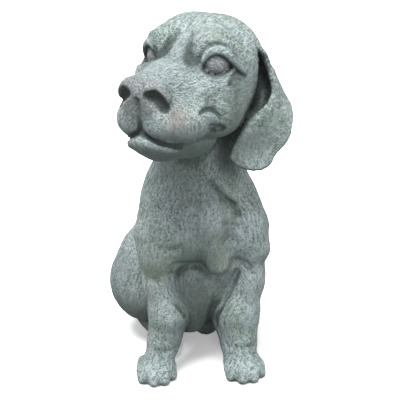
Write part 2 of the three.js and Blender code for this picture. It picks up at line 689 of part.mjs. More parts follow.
// Full size, with the middle of the ground plan at the origin.
const geometry = new THREE.BufferGeometry();
geometry.setAttribute('position', new THREE.BufferAttribute(vertProperties, 3));
geometry.setIndex(new THREE.BufferAttribute(triVerts, 1));
geometry.scale(UNIT, UNIT, UNIT);
geometry.computeBoundingBox();
const plan = geometry.boundingBox.getCenter(new THREE.Vector3());
geometry.translate(-plan.x, -plan.y, 0);
geometry.computeVertexNormals();

const bronze = new THREE.MeshStandardMaterial({ color: 0x7f8f8b, roughness: 0.85, metalness: 0.25 });
const casting = new THREE.Mesh(geometry, bronze);
casting.name = 'puppy';

const statue = new THREE.Group();
statue.add(casting);
export default statue;
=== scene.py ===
"""Looks of a cast metal puppy garden statue.

A sitting hound puppy, cast hollow in one piece, with a carved coat under a weathered grey-green
patina. The whole figure is one smooth form made of named eggs, limbs and curled sheets. It is
skinned as one fine mesh, its coat is combed and carved along a flow over the body, and its patina
follows the hollows and heights of that carving. Painted shade darkens its crevices, creases,
undersides and shaded spots, and painted highlights pale a few raised places.

Lengths inside the form are in the form's own units, in which the crown of the head is CROWN high.
The puppy faces -Y, its left is at +X and it stands on z = 0.
"""
import logging
import math
from dataclasses import dataclass, field
from enum import Enum
from typing import Callable, Optional, Sequence

import bpy
import numpy as np
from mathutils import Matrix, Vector


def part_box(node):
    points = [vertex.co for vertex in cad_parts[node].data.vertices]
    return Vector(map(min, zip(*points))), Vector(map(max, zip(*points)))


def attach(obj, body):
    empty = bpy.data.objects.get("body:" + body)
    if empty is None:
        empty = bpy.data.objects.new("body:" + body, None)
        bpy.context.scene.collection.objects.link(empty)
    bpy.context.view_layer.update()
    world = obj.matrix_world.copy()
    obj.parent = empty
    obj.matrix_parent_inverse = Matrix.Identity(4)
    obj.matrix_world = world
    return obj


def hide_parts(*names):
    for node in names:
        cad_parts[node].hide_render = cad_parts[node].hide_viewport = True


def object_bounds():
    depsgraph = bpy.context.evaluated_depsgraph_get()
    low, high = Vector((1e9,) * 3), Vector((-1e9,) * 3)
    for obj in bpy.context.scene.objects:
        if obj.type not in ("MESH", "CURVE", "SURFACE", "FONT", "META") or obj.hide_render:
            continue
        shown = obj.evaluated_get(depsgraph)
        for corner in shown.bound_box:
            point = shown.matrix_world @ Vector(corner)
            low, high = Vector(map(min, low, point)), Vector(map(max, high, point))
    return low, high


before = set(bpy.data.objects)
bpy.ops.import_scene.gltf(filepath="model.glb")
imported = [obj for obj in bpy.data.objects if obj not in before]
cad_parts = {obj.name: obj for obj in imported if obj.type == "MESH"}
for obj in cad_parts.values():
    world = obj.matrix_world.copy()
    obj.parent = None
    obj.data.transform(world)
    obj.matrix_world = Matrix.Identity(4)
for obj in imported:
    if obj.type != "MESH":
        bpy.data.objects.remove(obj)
CAD_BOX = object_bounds()

Form = Callable[[np.ndarray], np.ndarray]
Point = tuple[float, float, float]
Socket = bpy.types.NodeSocket

# Height of the crown of the head in the form's own units, and the size of one unit in metres.
CROWN = 102.35
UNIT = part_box("puppy")[1].z / CROWN

# How much closer to the nose the right eye and brow sit than the left ones, and how far out from
# the middle of the face the shift is whole.
FAR_EYE_INSET = 1.3
FULL_INSET_AT = 4.0

# Least length and least slope that anything is divided by.
LEAST_LENGTH = 1e-6
LEAST_SLOPE = 1e-9

# How many of its widths away from its path a groove still counts.
GROOVE_REACH = 2.6

log = logging.getLogger("puppy")


class Side(Enum):
    """The puppy's own left and right, as the sign of x."""

    LEFT = 1
    RIGHT = -1

    def place(self, spot: Point) -> Point:
        """A spot of the left side, on this side."""
        return (spot[0] * self.value, spot[1], spot[2])


# Soft modelling of forms as distances to a surface


def join(width: float, *distances: np.ndarray) -> np.ndarray:
    """Joins forms with a soft seam.

    Args:
        width: Reach of the seam.
        distances: Distance of each point to each form.

    Returns:
        Distance to all of them together.
    """
    result = distances[0]
    for other in distances[1:]:
        seam = np.clip(width - np.abs(result - other), 0, None) / width
        result = np.minimum(result, other) - seam * seam * width * 0.25
    return result


def cut(width: float, form: np.ndarray, tool: np.ndarray) -> np.ndarray:
    """Cuts a tool out of a form with a soft rim.

    Args:
        width: Reach of the rim.
        form: Distance to the form.
        tool: Distance to the tool.

    Returns:
        Distance to what is left.
    """
    return -join(width, -form, tool)


def length(vectors: np.ndarray) -> np.ndarray:
    """Length of each row."""
    return np.sqrt(np.einsum("ij,ij->i", vectors, vectors))


def unit(vector: Sequence[float]) -> np.ndarray:
    """The same direction at length one."""
    array = np.asarray(vector, float)
    return array / np.linalg.norm(array)


def unit_rows(vectors: np.ndarray) -> np.ndarray:
    """Each row's direction at length one."""
    return vectors / np.maximum(length(vectors), LEAST_LENGTH)[:, None]


def paired(points: np.ndarray) -> np.ndarray:
    """Points folded onto the left side, so that a form stands on both sides."""
    return points * np.where(points[:, :1] < 0, (-1.0, 1.0, 1.0), (1.0, 1.0, 1.0))


def drawn_in(points: np.ndarray, inset: float) -> np.ndarray:
    """Points folded onto the left side, with the right side's features set closer to the middle.

    Args:
        points: Points in the head's own frame.
        inset: How much closer.

    Returns:
        The folded points.
    """
    folded = paired(points).copy()
    folded[:, 0] += inset * np.clip(-points[:, 0] / FULL_INSET_AT, 0, 1)
    return folded


def egg(points: np.ndarray, middle: Point, radii: Point) -> np.ndarray:
    """Distance to an ellipsoid.

    Args:
        points: Places to measure.
        middle: Its middle.
        radii: Its three radii.

    Returns:
        Distance of each point, close to exact near the surface.
    """
    scaled = (points - middle) / radii
    near = length(scaled)
    slope = length(scaled / radii)
    return near * (near - 1) / np.maximum(slope, LEAST_SLOPE)


def limb(points: np.ndarray, path: Sequence[Point], radii: Sequence[float], width: float = 0.0) -> np.ndarray:
    """Distance to a chain of round cones.

    Args:
        points: Places to measure.
        path: The points of the chain.
        radii: The radius at each of them.
        width: Reach of the soft seam between two cones.

    Returns:
        Distance of each point.
    """
    result: Optional[np.ndarray] = None
    spots = np.asarray(path, float)
    for start, end, first, last in zip(spots[:-1], spots[1:], radii[:-1], radii[1:]):
        along = end - start
        share = np.clip((points - start) @ along / (along @ along), 0, 1)
        distance = length(points - start - share[:, None] * along) - (first + (last - first) * share)
        if result is None:
            result = distance
        else:
            result = join(width, result, distance) if width else np.minimum(result, distance)
    return result


def tapered(points: np.ndarray, rows: Sequence, width: float = 0.0) -> np.ndarray:
    """Distance to a chain of round cones, given as rows.

    Args:
        points: Places to measure.
        rows: For each point of the chain its three coordinates and its radius.
        width: Reach of the soft seam between two cones.

    Returns:
        Distance of each point.
    """
    return limb(points, [row[:3] for row in rows], [row[3] for row in rows], width)


def within(points: np.ndarray, middle: Sequence[float], reach: float, form: Form,
           margin: float = 3.0) -> np.ndarray:
    """Works a form out only close to the ball that holds it.

    Args:
        points: Places to measure.
        middle: Middle of the ball.
        reach: Radius of the ball.
        form: The form inside it.
        margin: How far outside the ball the form is still worked out.

    Returns:
        Distance of each point: far away, the distance to the ball.
    """
    gap = length(points - np.asarray(middle, float)) - reach
    close = gap < margin
    result = gap.copy()
    if close.any():
        result[close] = form(points[close])
    return result


def stroke(points: np.ndarray, path: Sequence[Point], width: float, depth: float) -> np.ndarray:
    """How far a soft line pushes the surface in.

    Args:
        points: Places to measure.
        path: The line.
        width: Distance over which it fades.
        depth: Depth on the line, below zero for a raised line.

    Returns:
        The push at each point, to be added to a distance.
    """
    away = limb(points, path, [0.0] * len(path))
    return depth * np.exp(-((away / width) ** 2))


def arc_path(path: Sequence[Point], steps: int = 5) -> list[Point]:
    """A smooth line through the given points.

    Args:
        path: Points on the line.
        steps: New points in each stretch.

    Returns:
        The finer line.
    """
    spots = np.asarray([path[0], *path, path[-1]], float)
    result = []
    for i in range(1, len(spots) - 2):
        before, start, end, after = spots[i - 1:i + 3]
        for share in np.arange(steps) / steps:
            near = 2 * start + (end - before) * share
            bend = (2 * before - 5 * start + 4 * end - after) * share**2
            turn = (3 * start - before - 3 * end + after) * share**3
            result.append(tuple((near + bend + turn) / 2))
    return [*result, tuple(spots[-1])]


@dataclass(frozen=True)
class HeadFrame:
    """Where the head is set, how it is turned to the puppy's right and lifted, and where it ends.

    It ends at its reach from that place, and at a soft edge below the jaw that slants to the nape.
    """

    place: Point = (-1.0, -8.0, 86.9)
    yaw: float = 43.4
    pitch: float = 13.4
    roll: float = -1.8
    reach: float = 34.0
    jaw_drop: float = 15.0
    nape_slant: float = 0.25
    edge: float = 1.5

    def axes(self) -> np.ndarray:
        """Columns are the head's own left, back and up."""
        yaw, pitch, roll = (math.radians(angle) for angle in (-self.yaw, -self.pitch, self.roll))
        turn = np.array([[math.cos(yaw), -math.sin(yaw), 0], [math.sin(yaw), math.cos(yaw), 0], [0, 0, 1]])
        lift = np.array([[1, 0, 0], [0, math.cos(pitch), -math.sin(pitch)],
                         [0, math.sin(pitch), math.cos(pitch)]])
        tip = np.array([[math.cos(roll), 0, math.sin(roll)], [0, 1, 0], [-math.sin(roll), 0, math.cos(roll)]])
        return turn @ lift @ tip

    def local(self, points: np.ndarray) -> np.ndarray:
        """Points in the head's own frame."""
        return (points - self.place) @ self.axes()

    def world(self, spot: Sequence[float]) -> np.ndarray:
        """A spot in the head's own frame as a point of the figure."""
        return self.axes() @ np.asarray(spot, float) + self.place

    def share(self, local: np.ndarray) -> np.ndarray:
        """How far each point belongs to the head, with a soft edge along the jaw and nape.

        Args:
            local: Points in the head's own frame.

        Returns:
            One on the head, zero on the body.
        """
        below = local[:, 2] + self.jaw_drop + self.nape_slant * local[:, 1]
        return 1 / (1 + np.exp(-below / self.edge)) * (length(local) < self.reach)


@dataclass
class Eye:
    """A plain ball in a hollow, a thick upper lid that runs on past the outer corner, and a lower lid."""

    middle: Point = (8.7, -8.3, 3.6)
    radius: float = 3.7
    facing: Point = (0.6, -0.79, 0.07)
    socket: Point = (4.2, 4.2, 3.4)
    upper: tuple = ((6.6, -13.3, 1.2, 0.5), (6.9, -12.7, 3.6, 0.85), (8.4, -12.1, 6.0, 1.1),
                    (10.6, -10.9, 7.1, 1.2), (12.6, -9.3, 6.1, 1.15), (13.7, -7.4, 4.2, 1.0),
                    (14.5, -4.6, 2.4, 0.8), (14.8, -2.8, 1.6, 0.5))
    lower: tuple = ((6.6, -13.3, 1.2, 0.5), (8.4, -12.4, 0.3, 0.7), (10.4, -11.3, -0.2, 0.8),
                    (12.2, -9.8, 0.3, 0.75), (13.6, -7.6, 2.2, 0.6))

    def set_into(self, face: np.ndarray, local: np.ndarray) -> np.ndarray:
        """Sets both eyes and their lids into the face.

        Args:
            face: Distance to the face.
            local: Points in the head's own frame.

        Returns:
            Distance to the face with its eyes.
        """
        half = drawn_in(local, FAR_EYE_INSET)
        out = unit(self.facing)
        hollow = tuple(np.asarray(self.middle) + out * self.radius)
        face = cut(1.2, face, egg(half, hollow, self.socket))
        face = join(0.25, face, egg(half, self.middle, (self.radius,) * 3))
        lids = []
        for rows in (self.upper, self.lower):
            path = arc_path([row[:3] for row in rows], 3)
            along, knots = np.linspace(0, 1, len(path)), np.linspace(0, 1, len(rows))
            radii = np.interp(along, knots, [row[3] for row in rows])
            lids.append(limb(half, path, list(radii)))
        return join(0.6, face, *lids)


@dataclass
class Head:
    """Skull, brows, cheeks, muzzle, nose, mouth and eyes, in the head's own frame."""

    pose: HeadFrame = field(default_factory=HeadFrame)
    eye: Eye = field(default_factory=Eye)
    ear_hollow: tuple = ((12.9, 5.4, 9.4, 0.5), (14.0, 6.2, 7.2, 2.4), (15.0, 7.2, 3.0, 3.0),
                         (15.6, 8.4, -2.0, 2.6), (15.0, 6.6, -8.0, 1.4))

    def skull(self, local: np.ndarray) -> np.ndarray:
        """Crown, nape, brows and cheeks."""
        half = paired(local)
        crown = join(4.0, egg(local, (0, 2.2, 2.6), (14.6, 15.0, 12.8)),
                     egg(local, (0, 6, 0), (12.4, 10.5, 12.5)))
        crown = join(4.0, crown, egg(half, (4.7, 2.2, 5.2), (9.2, 11.0, 9.6)))
        browed = join(4.0, crown, egg(drawn_in(local, FAR_EYE_INSET), (7.2, -8.0, 7.2), (4.7, 4.4, 4.5)))
        cheeks = join(3.0, egg(half, (8.0, -2.0, -6.8), (6.3, 9.8, 8.8)),
                      limb(half, [(9.4, -9, -1.6), (6.8, -14, -3.4)], [3.8, 3.4]))
        under_far_eye = egg(local, (-9.2, -12.4, 1.2), (2.4, 2.4, 2.8))
        return join(2.5, join(5.0, browed, cheeks), under_far_eye)

    def muzzle(self, local: np.ndarray) -> np.ndarray:
        """Bridge of the nose and the hanging lips."""
        half = paired(local)
        bridge = limb(local, [(0, -8, -2.2), (0, -18.5, -2.8), (0, -27, -4.2)], [6.8, 6.0, 5.2], 2.0)
        lips = limb(half, [(7.4, -8, -8.4), (6.3, -17.5, -11.0), (3.5, -24.6, -11.0)], [5.4, 5.6, 5.2], 2.0)
        return join(5.0, bridge, lips)

    def nose(self, face: np.ndarray, local: np.ndarray) -> np.ndarray:
        """Adds the nose pad and cuts its nostrils and the groove down to the lip."""
        half = paired(local)
        pad = limb(half, [(0, -28.4, -3.2), (3.6, -28.0, -3.9)], [3.8, 3.4])
        pad = join(1.5, pad, limb(half, [(4.9, -28.0, -5.4), (3.4, -29.0, -7.6)], [2.2, 1.8]),
                   egg(local, (0, -28.2, -7.4), (3.6, 2.9, 3.8)))
        nostril = limb(half, [(2.8, -31.6, -4.6), (4.5, -31.0, -4.8), (6.0, -30.2, -6.0), (6.5, -29.6, -7.3)],
                       [0.9, 1.8, 1.6, 0.9])
        groove = limb(local, [(0, -32.0, -6.2), (0, -31.2, -9.6), (0, -30.0, -13.8)], [0.5, 0.6, 1.0])
        return cut(1.0, cut(0.6, join(0.7, face, pad), nostril), groove)

    def jaw(self, face: np.ndarray, local: np.ndarray) -> np.ndarray:
        """Adds the lower jaw and cuts the corners of the mouth."""
        half = paired(local)
        bone = egg(local, (0, -19.6, -16.4), (7.2, 8.8, 4.8))
        bone = join(3.0, bone, limb(local, [(0, -17, -16.4), (0, -5, -14)], [5.6, 8.6]))
        corner = limb(half, [(11.9, -15.2, -11.9), (12.4, -11.6, -12.3), (12.4, -8.4, -13.0)],
                      [0.6, 1.1, 1.0])
        return cut(0.5, join(0.6, face, bone), corner)

    def form(self, points: np.ndarray) -> np.ndarray:
        """Distance to the head.

        Args:
            points: Places to measure, in the figure's frame.

        Returns:
            Distance of each point.
        """
        local = self.pose.local(points)
        face = join(6.0, self.skull(local), self.muzzle(local))
        face = self.jaw(self.nose(face, local), local)
        face = self.eye.set_into(face, local)
        face = cut(0.6, face, tapered(paired(local), self.ear_hollow, 1.0))
        return face + sum(groove.push(local) for groove in HEAD_GROOVES)


@dataclass
class Ear:
    """A curled sheet that hangs beside the head, in the head's own frame.

    A row gives a height, the sheet's distance from the middle of the head, its outward slope to
    the back and its curl. An outline entry gives a height, the place from front to back and a radius.
    Below far_bend the right ear is drawn in and lifted.
    """

    pose: HeadFrame
    side: Side
    thickness: float = 1.8
    middle: float = 8.0
    rows: tuple = ((-26, 16.2, 0.95, 0.0), (-20, 15.5, 0.9, 0.01), (-13.5, 17.8, 0.56, 0.02),
                   (-9, 18.5, 0.34, 0.024), (-6, 18.4, 0.16, 0.028), (-1, 17.8, -0.12, 0.038),
                   (3, 16.1, -0.42, 0.045), (6, 13.9, -0.78, 0.03), (8.5, 11.0, -0.9, 0.03),
                   (10, 8.9, -0.9, 0.03), (13, 4.4, -0.9, 0.03))
    outline: tuple = ((7.4, 7.4, 3.2), (4.5, 9.8, 4.0), (1, 12.2, 5.6), (-3, 13.8, 5.8), (-8.4, 11.0, 5.4),
                      (-13, 8.2, 6.5), (-20.4, 6.7, 4.4))
    fold: tuple = ((8.4, 11.6, 5.0), (11.0, 13.4, 0.0), (12.0, 13.0, -6), (13.4, 9.6, -10.5),
                   (12.8, 5.8, -11.4), (10.2, 7.6, -15.2))
    fold_radii: tuple = (3.0, 4.0, 4.0, 2.8, 2.3, 3.4)
    far_bend: float = 8.0
    far_tuck: float = 0.12
    far_lift: float = 0.12
    edge: float = 1.3

    def column(self, heights: np.ndarray, number: int) -> np.ndarray:
        """A smooth curve through one column of the rows.

        Args:
            heights: Where to read it.
            number: Which column.

        Returns:
            The value at each height.
        """
        knots = np.array([row[0] for row in self.rows], float)
        values = np.array([row[number] for row in self.rows], float)
        after, before = np.roll(values, -1), np.roll(values, 1)
        after[-1], before[0] = values[-1], values[0]
        wide = np.roll(knots, -1) - np.roll(knots, 1)
        wide[0], wide[-1] = knots[1] - knots[0], knots[-1] - knots[-2]
        tilt = (after - before) / wide
        clamped = np.clip(heights, knots[0], knots[-1])
        i = np.clip(np.searchsorted(knots, clamped) - 1, 0, len(knots) - 2)
        span = knots[i + 1] - knots[i]
        share = (clamped - knots[i]) / span
        rise = values[i + 1] - values[i]
        first, last = tilt[i] * span - rise, rise - tilt[i + 1] * span
        return values[i] + rise * share + share * (1 - share) * (first * (1 - share) + last * share)

    def sheet(self, y: np.ndarray, z: np.ndarray) -> np.ndarray:
        """How far the middle of the sheet stands off the middle of the head."""
        back = y - self.middle
        return self.column(z, 1) + self.column(z, 2) * back - self.column(z, 3) * back * back

    def form(self, points: np.ndarray) -> np.ndarray:
        """Distance to the ear.

        Args:
            points: Places to measure, in the figure's frame.

        Returns:
            Distance of each point.
        """
        x, y, z = (self.pose.local(points) * (self.side.value, 1, 1)).T
        if self.side is Side.RIGHT:
            drop = np.clip(self.far_bend - z, 0, None)
            x, z = x + drop * self.far_tuck, z - drop * self.far_lift
        step = 0.05
        at = self.sheet(y, z)
        rise_back = (self.sheet(y + step, z) - at) / step
        rise_up = (self.sheet(y, z + step) - at) / step
        across = np.abs(x - at) / np.sqrt(1 + rise_back**2 + rise_up**2) - self.thickness / 2
        flat = np.stack([np.zeros_like(y), y, z], 1)
        path = [(0, place, height) for height, place, _ in self.outline]
        along = limb(flat, path, [row[2] for row in self.outline], 1.5)
        fold = limb(np.stack([x, y, z], 1), self.fold, self.fold_radii, 1.5)
        return join(1.0, -join(self.edge, -across, -along), fold)


@dataclass
class Torso:
    """Chest with its keel and breast, shoulders, neck, back and belly."""

    def form(self, points: np.ndarray) -> np.ndarray:
        """Distance to the torso.

        Args:
            points: Places to measure.

        Returns:
            Distance of each point.
        """
        half = paired(points)
        ribs = join(4.0, egg(points, (0, -2.5, 47), (14.8, 13.2, 18)),
                    egg(half, (10.9, -5, 41.5), (6.9, 8.5, 12.5)))
        neck = limb(points, [(0, 0, 50), (-0.4, -3.5, 62), (-1.2, -4.5, 75)], [13.0, 10.4, 9.0], 3.0)
        back = limb(points, [(0, 3, 48), (0, 10, 36), (0, 17, 23)], [13.0, 14, 14.5], 4.0)
        keel = limb(points, [(-1.0, -11, 58), (1.0, -13, 46), (2.9, -12.8, 33.4)], [4.5, 4.5, 3.3], 2.0)
        breasts = join(1.0, egg(points, (-7.0, -9.0, 42.5), (8.4, 6.8, 9.0)),
                       egg(points, (9.5, -9.0, 42.0), (7.4, 6.6, 8.6)))
        tufts = join(1.0, egg(points, (-13.0, -9.2, 35.5), (5.0, 4.6, 6.5)),
                     egg(points, (14.2, -9, 35.2), (4.6, 4.8, 4.6)))
        chest = join(3.2, join(5.0, ribs, neck), keel, breasts, tufts)
        belly = join(1.5, limb(points, [(0, -1, 32), (0.8, 1.5, 19), (2.0, 8, 8)], [10.4, 8.4, 4.3], 2.0),
                     egg(points, (-3.4, -5.4, 23.5), (9.2, 7.5, 13.8)),
                     limb(points, [(6.2, -9.0, 33), (5.2, -6.4, 22), (3.4, 2.5, 8)], [4.8, 4.5, 3.8], 2.0))
        return join(0.8, join(5.0, chest, back), belly)


@dataclass
class Hindquarters:
    """Rump, thighs, hind feet and the tail that lies round to the puppy's left."""

    tail: tuple = ((0, 30, 9, 4.4), (3, 34.5, 4.5, 3.8), (8.5, 35.5, 3.0, 3.2), (14, 32.5, 2.5, 2.8),
                   (18.5, 27, 2.2, 2.4), (21, 21, 1.8, 1.9))

    def form(self, points: np.ndarray) -> np.ndarray:
        """Distance to the hindquarters.

        Args:
            points: Places to measure.

        Returns:
            Distance of each point.
        """
        half = paired(points)
        thighs = join(4.0, egg(half, (12.4, 14, 17.8), (9.9, 13, 11.4)),
                      egg(half, (10.4, 12, 27.4), (9.0, 10, 8.6)), egg(points, (0, 21, 13), (14, 13, 14.6)))
        foot_radii = [5.4, 3.8, 3.4]
        feet = np.minimum(limb(points, [(12.5, 14, 7.0), (13.6, 8, 3.4), (12.2, 0, 2.4)], foot_radii, 2.0),
                          limb(points, [(-9.5, 14, 7.0), (-7.6, 8, 3.4), (-9.2, 0, 2.4)], foot_radii, 2.0))
        tail = tapered(points, self.tail, 2.0)
        return join(2.0, join(2.0, thighs, feet), tail)


@dataclass(frozen=True)
class Groove:
    """A soft line pressed into the surface, or raised from it where its depth is below zero."""

    path: tuple
    width: float
    depth: float
    mirrored: bool = False

    def push(self, points: np.ndarray) -> np.ndarray:
        """How far each place is pressed in.

        Args:
            points: Places to measure, in the frame of the path.

        Returns:
            The push at each point, to be added to a distance.
        """
        reach = GROOVE_REACH * self.width
        places = paired(points) if self.mirrored else points
        spots = np.asarray(self.path, float)
        near = ((places > spots.min(0) - reach) & (places < spots.max(0) + reach)).all(1)
        result = np.zeros(len(points))
        if near.any():
            result[near] = stroke(places[near], arc_path(self.path, 3), self.width, self.depth)
        return result


HEAD_GROOVES = (
    # Lip line, lower lip, dimple behind the lips
    Groove(((-0.4, -27.9, -13.6), (2.2, -27.4, -15.1), (4.4, -25.9, -16.4), (6.5, -21.9, -17.1),
            (8.4, -17.7, -16.6), (10.2, -15.9, -15.3), (11.2, -12.8, -13.5), (11.6, -10.2, -12.9)),
           0.5, 1.15, True),
    Groove(((0.0, -27.6, -16.2), (3.0, -26.6, -17.4), (6.2, -22.4, -18.7), (8.8, -17.6, -18.3),
            (11.0, -13.4, -15.6), (12.2, -9.6, -15.0)), 0.9, -0.7, True),
    Groove(((11.2, -19.0, -8.4), (11.6, -16.7, -7.5), (12.2, -14.6, -7.7), (13.0, -12.6, -8.9),
            (13.3, -11.3, -10.4)), 0.6, 0.4, True),
    Groove(((11.6, -17.2, -9.2), (12.4, -14.6, -9.4), (13.0, -12.6, -10.6)), 1.0, -0.5, True),
    # Philtrum, inner line of the nostrils
    Groove(((0.3, -31.6, -5.9), (0.3, -30.9, -8.4), (0.2, -30.0, -10.6), (-0.2, -28.0, -13.4)), 0.5, 0.65),
    Groove(((2.9, -30.2, -4.4), (4.1, -29.5, -4.8), (5.4, -28.7, -6.1), (5.9, -27.9, -7.4)), 0.9, 1.1, True),
    # Furrow and ridge of the brow, inner corner of the eye, lines above the upper lid and below the lower
    Groove(((2.0, -10.2, 10.6), (2.5, -11.8, 8.6), (3.2, -13.3, 6.0), (4.4, -14.2, 3.2)), 1.2, 0.35, True),
    Groove(((4.7, -11.8, 9.2), (7.2, -11.5, 10.2), (9.9, -10.6, 9.6), (12.4, -8.4, 8.2)), 1.3, -0.6, True),
    Groove(((5.8, -13.8, 0.6), (4.9, -15.4, -0.8)), 0.6, 0.5, True),
    Groove(((6.0, -13.4, 3.4), (6.6, -13.1, 5.6), (8.0, -12.5, 7.8), (10.6, -11.1, 8.9), (13.2, -9.0, 7.9),
            (14.6, -6.8, 5.6), (15.2, -4.2, 4.0)), 0.5, 0.5, True),
    Groove(((8.0, -13.2, -1.6), (10.6, -11.9, -2.2), (12.8, -9.8, -1.6), (14.4, -6.8, 0.2)), 0.6, 0.35, True),
)

BODY_GROOVES = (
    # Lower edge of the breast from the puppy's right elbow over the keel to its left elbow, and the
    # right edge of the belly
    Groove(((-12.9, -14.2, 31.0), (-11.2, -14.3, 32.9), (-9.2, -13.8, 34.6), (-5.3, -12.4, 34.2),
            (-2.2, -12.0, 32.6), (0.2, -12.6, 30.2), (2.8, -12.4, 28.6), (4.6, -14.2, 31.0),
            (6.9, -14.0, 33.6), (9.3, -13.5, 33.4), (11.2, -13.6, 32.2), (12.8, -13.8, 30.6)), 0.8, 0.9),
    Groove(((-10.6, -12.6, 31.4), (-10.5, -13.3, 27.0), (-9.5, -14.2, 23.0), (-7.4, -14.6, 19.2)), 0.8, 0.6),
    # Crease of the neck, hollow beside the keel, edge of the fold inside the left leg
    Groove(((0.2, -15.8, 58.4), (2.0, -15.9, 55.4), (4.4, -15.2, 52.9), (6.6, -14.3, 50.9),
            (8.0, -14.3, 48.6)), 0.9, 0.9),
    Groove(((2.2, -15.6, 58.6), (4.6, -15.2, 55.4), (7.4, -14.2, 52.4)), 1.3, -0.6),
    Groove(((3.2, -16.4, 52.0), (3.9, -16.8, 46.0), (4.1, -16.4, 40.0), (3.9, -16.2, 35.5)), 1.4, 0.6),
    Groove(((8.4, -13.2, 30.4), (6.4, -13.0, 24.9), (3.9, -13.7, 20.9), (2.4, -12.9, 14.9)), 0.8, 0.7),
    # Folds of the right shoulder and elbow, and of both wrists
    Groove(((-15.9, -11.6, 43.0), (-14.6, -13.6, 40.4), (-11.6, -15.0, 39.6), (-8.6, -15.6, 40.6)),
           1.0, 0.35),
    Groove(((-16.4, -10.2, 30.0), (-14.4, -12.6, 30.2), (-12.9, -13.6, 31.0)), 1.0, 0.3),
    Groove(((-15.2, -14.4, 9.6), (-12.0, -16.0, 9.4), (-9.4, -13.8, 9.8)), 0.9, 0.35),
    Groove(((5.6, -16.4, 9.6), (9.2, -18.4, 9.2), (12.6, -16.2, 9.6)), 0.9, 0.35),
)


@dataclass
class Foreleg:
    """A foreleg with its paw and four toes."""

    path: tuple
    radii: tuple
    paw: tuple
    spread: float
    toes: tuple = ((-3.7, -0.9), (-1.35, 1.5), (1.35, 1.5), (3.7, -0.9))

    def form(self, points: np.ndarray) -> np.ndarray:
        """Distance to the leg.

        Args:
            points: Places to measure.

        Returns:
            Distance of each point.
        """
        leg = limb(points, self.path, self.radii, 3.0)
        x, y = self.paw
        pad = egg(points, (x, y + 1, 2.6), (4.7 * self.spread, 6.0, 3.9))
        toes = []
        for across, forward in self.toes:
            side, front = across * self.spread, y - forward
            path = [(x + side * 0.75, front + 3, 4.2), (x + side, front - 0.8, 3.2),
                    (x + side * 1.02, front - 2.3, 1.4)]
            toes.append(limb(points, path, [radius * self.spread for radius in (1.4, 1.5, 1.4)], 0.3))
        return join(0.8, join(2.0, leg, pad), join(0.2, *toes))


@dataclass
class Puppy:
    """The whole figure.

    Each foreleg, the head and each ear lie in a ball, given by its middle and its reach. The middles
    for the head and the ears are in the head's own frame.
    """

    pose: HeadFrame = field(default_factory=HeadFrame)
    torso: Torso = field(default_factory=Torso)
    rear: Hindquarters = field(default_factory=Hindquarters)
    leg_middle: Point = (11.0, -11.0, 20.0)
    leg_reach: float = 27.0
    head_middle: Point = (0.0, -6.0, 0.0)
    head_reach: float = 32.0
    ear_middle: Point = (17.0, 10.0, -6.0)
    ear_reach: float = 24.0

    def __post_init__(self) -> None:
        """Makes the paired parts."""
        self.head = Head(self.pose)
        self.ears = [Ear(self.pose, side) for side in Side]
        self.forelegs = {
            Side.RIGHT: Foreleg(((-12.2, -6, 41), (-12.9, -8.8, 27.5), (-10.4, -10.4, 18.5),
                                 (-11.8, -10.6, 11.5), (-13.6, -12, 6)), (7, 4.0, 5.2, 4.1, 4.2),
                                (-15.0, -13.6), 1.08),
            Side.LEFT: Foreleg(((12.2, -6, 41), (11.6, -9, 26), (8.6, -10.5, 16.5), (8.9, -13, 9.5),
                                (8.8, -15, 5.5)), (7, 5.2, 6.4, 4.6, 4.5), (9.4, -18), 1.12),
        }

    def form(self, points: np.ndarray) -> np.ndarray:
        """Distance to the figure.

        Args:
            points: Places to measure.

        Returns:
            Distance of each point.
        """
        result = join(2.5, self.torso.form(points), self.rear.form(points))
        for side, leg in self.forelegs.items():
            middle = side.place(self.leg_middle)
            result = join(0.9, result, within(points, middle, self.leg_reach, leg.form))
        result = result + sum(groove.push(points) for groove in BODY_GROOVES)
        middle = self.pose.world(self.head_middle)
        result = join(2.0, result, within(points, middle, self.head_reach, self.head.form))
        for ear in self.ears:
            middle = self.pose.world(ear.side.place(self.ear_middle))
            result = join(1.2, result, within(points, middle, self.ear_reach, ear.form))
        return result


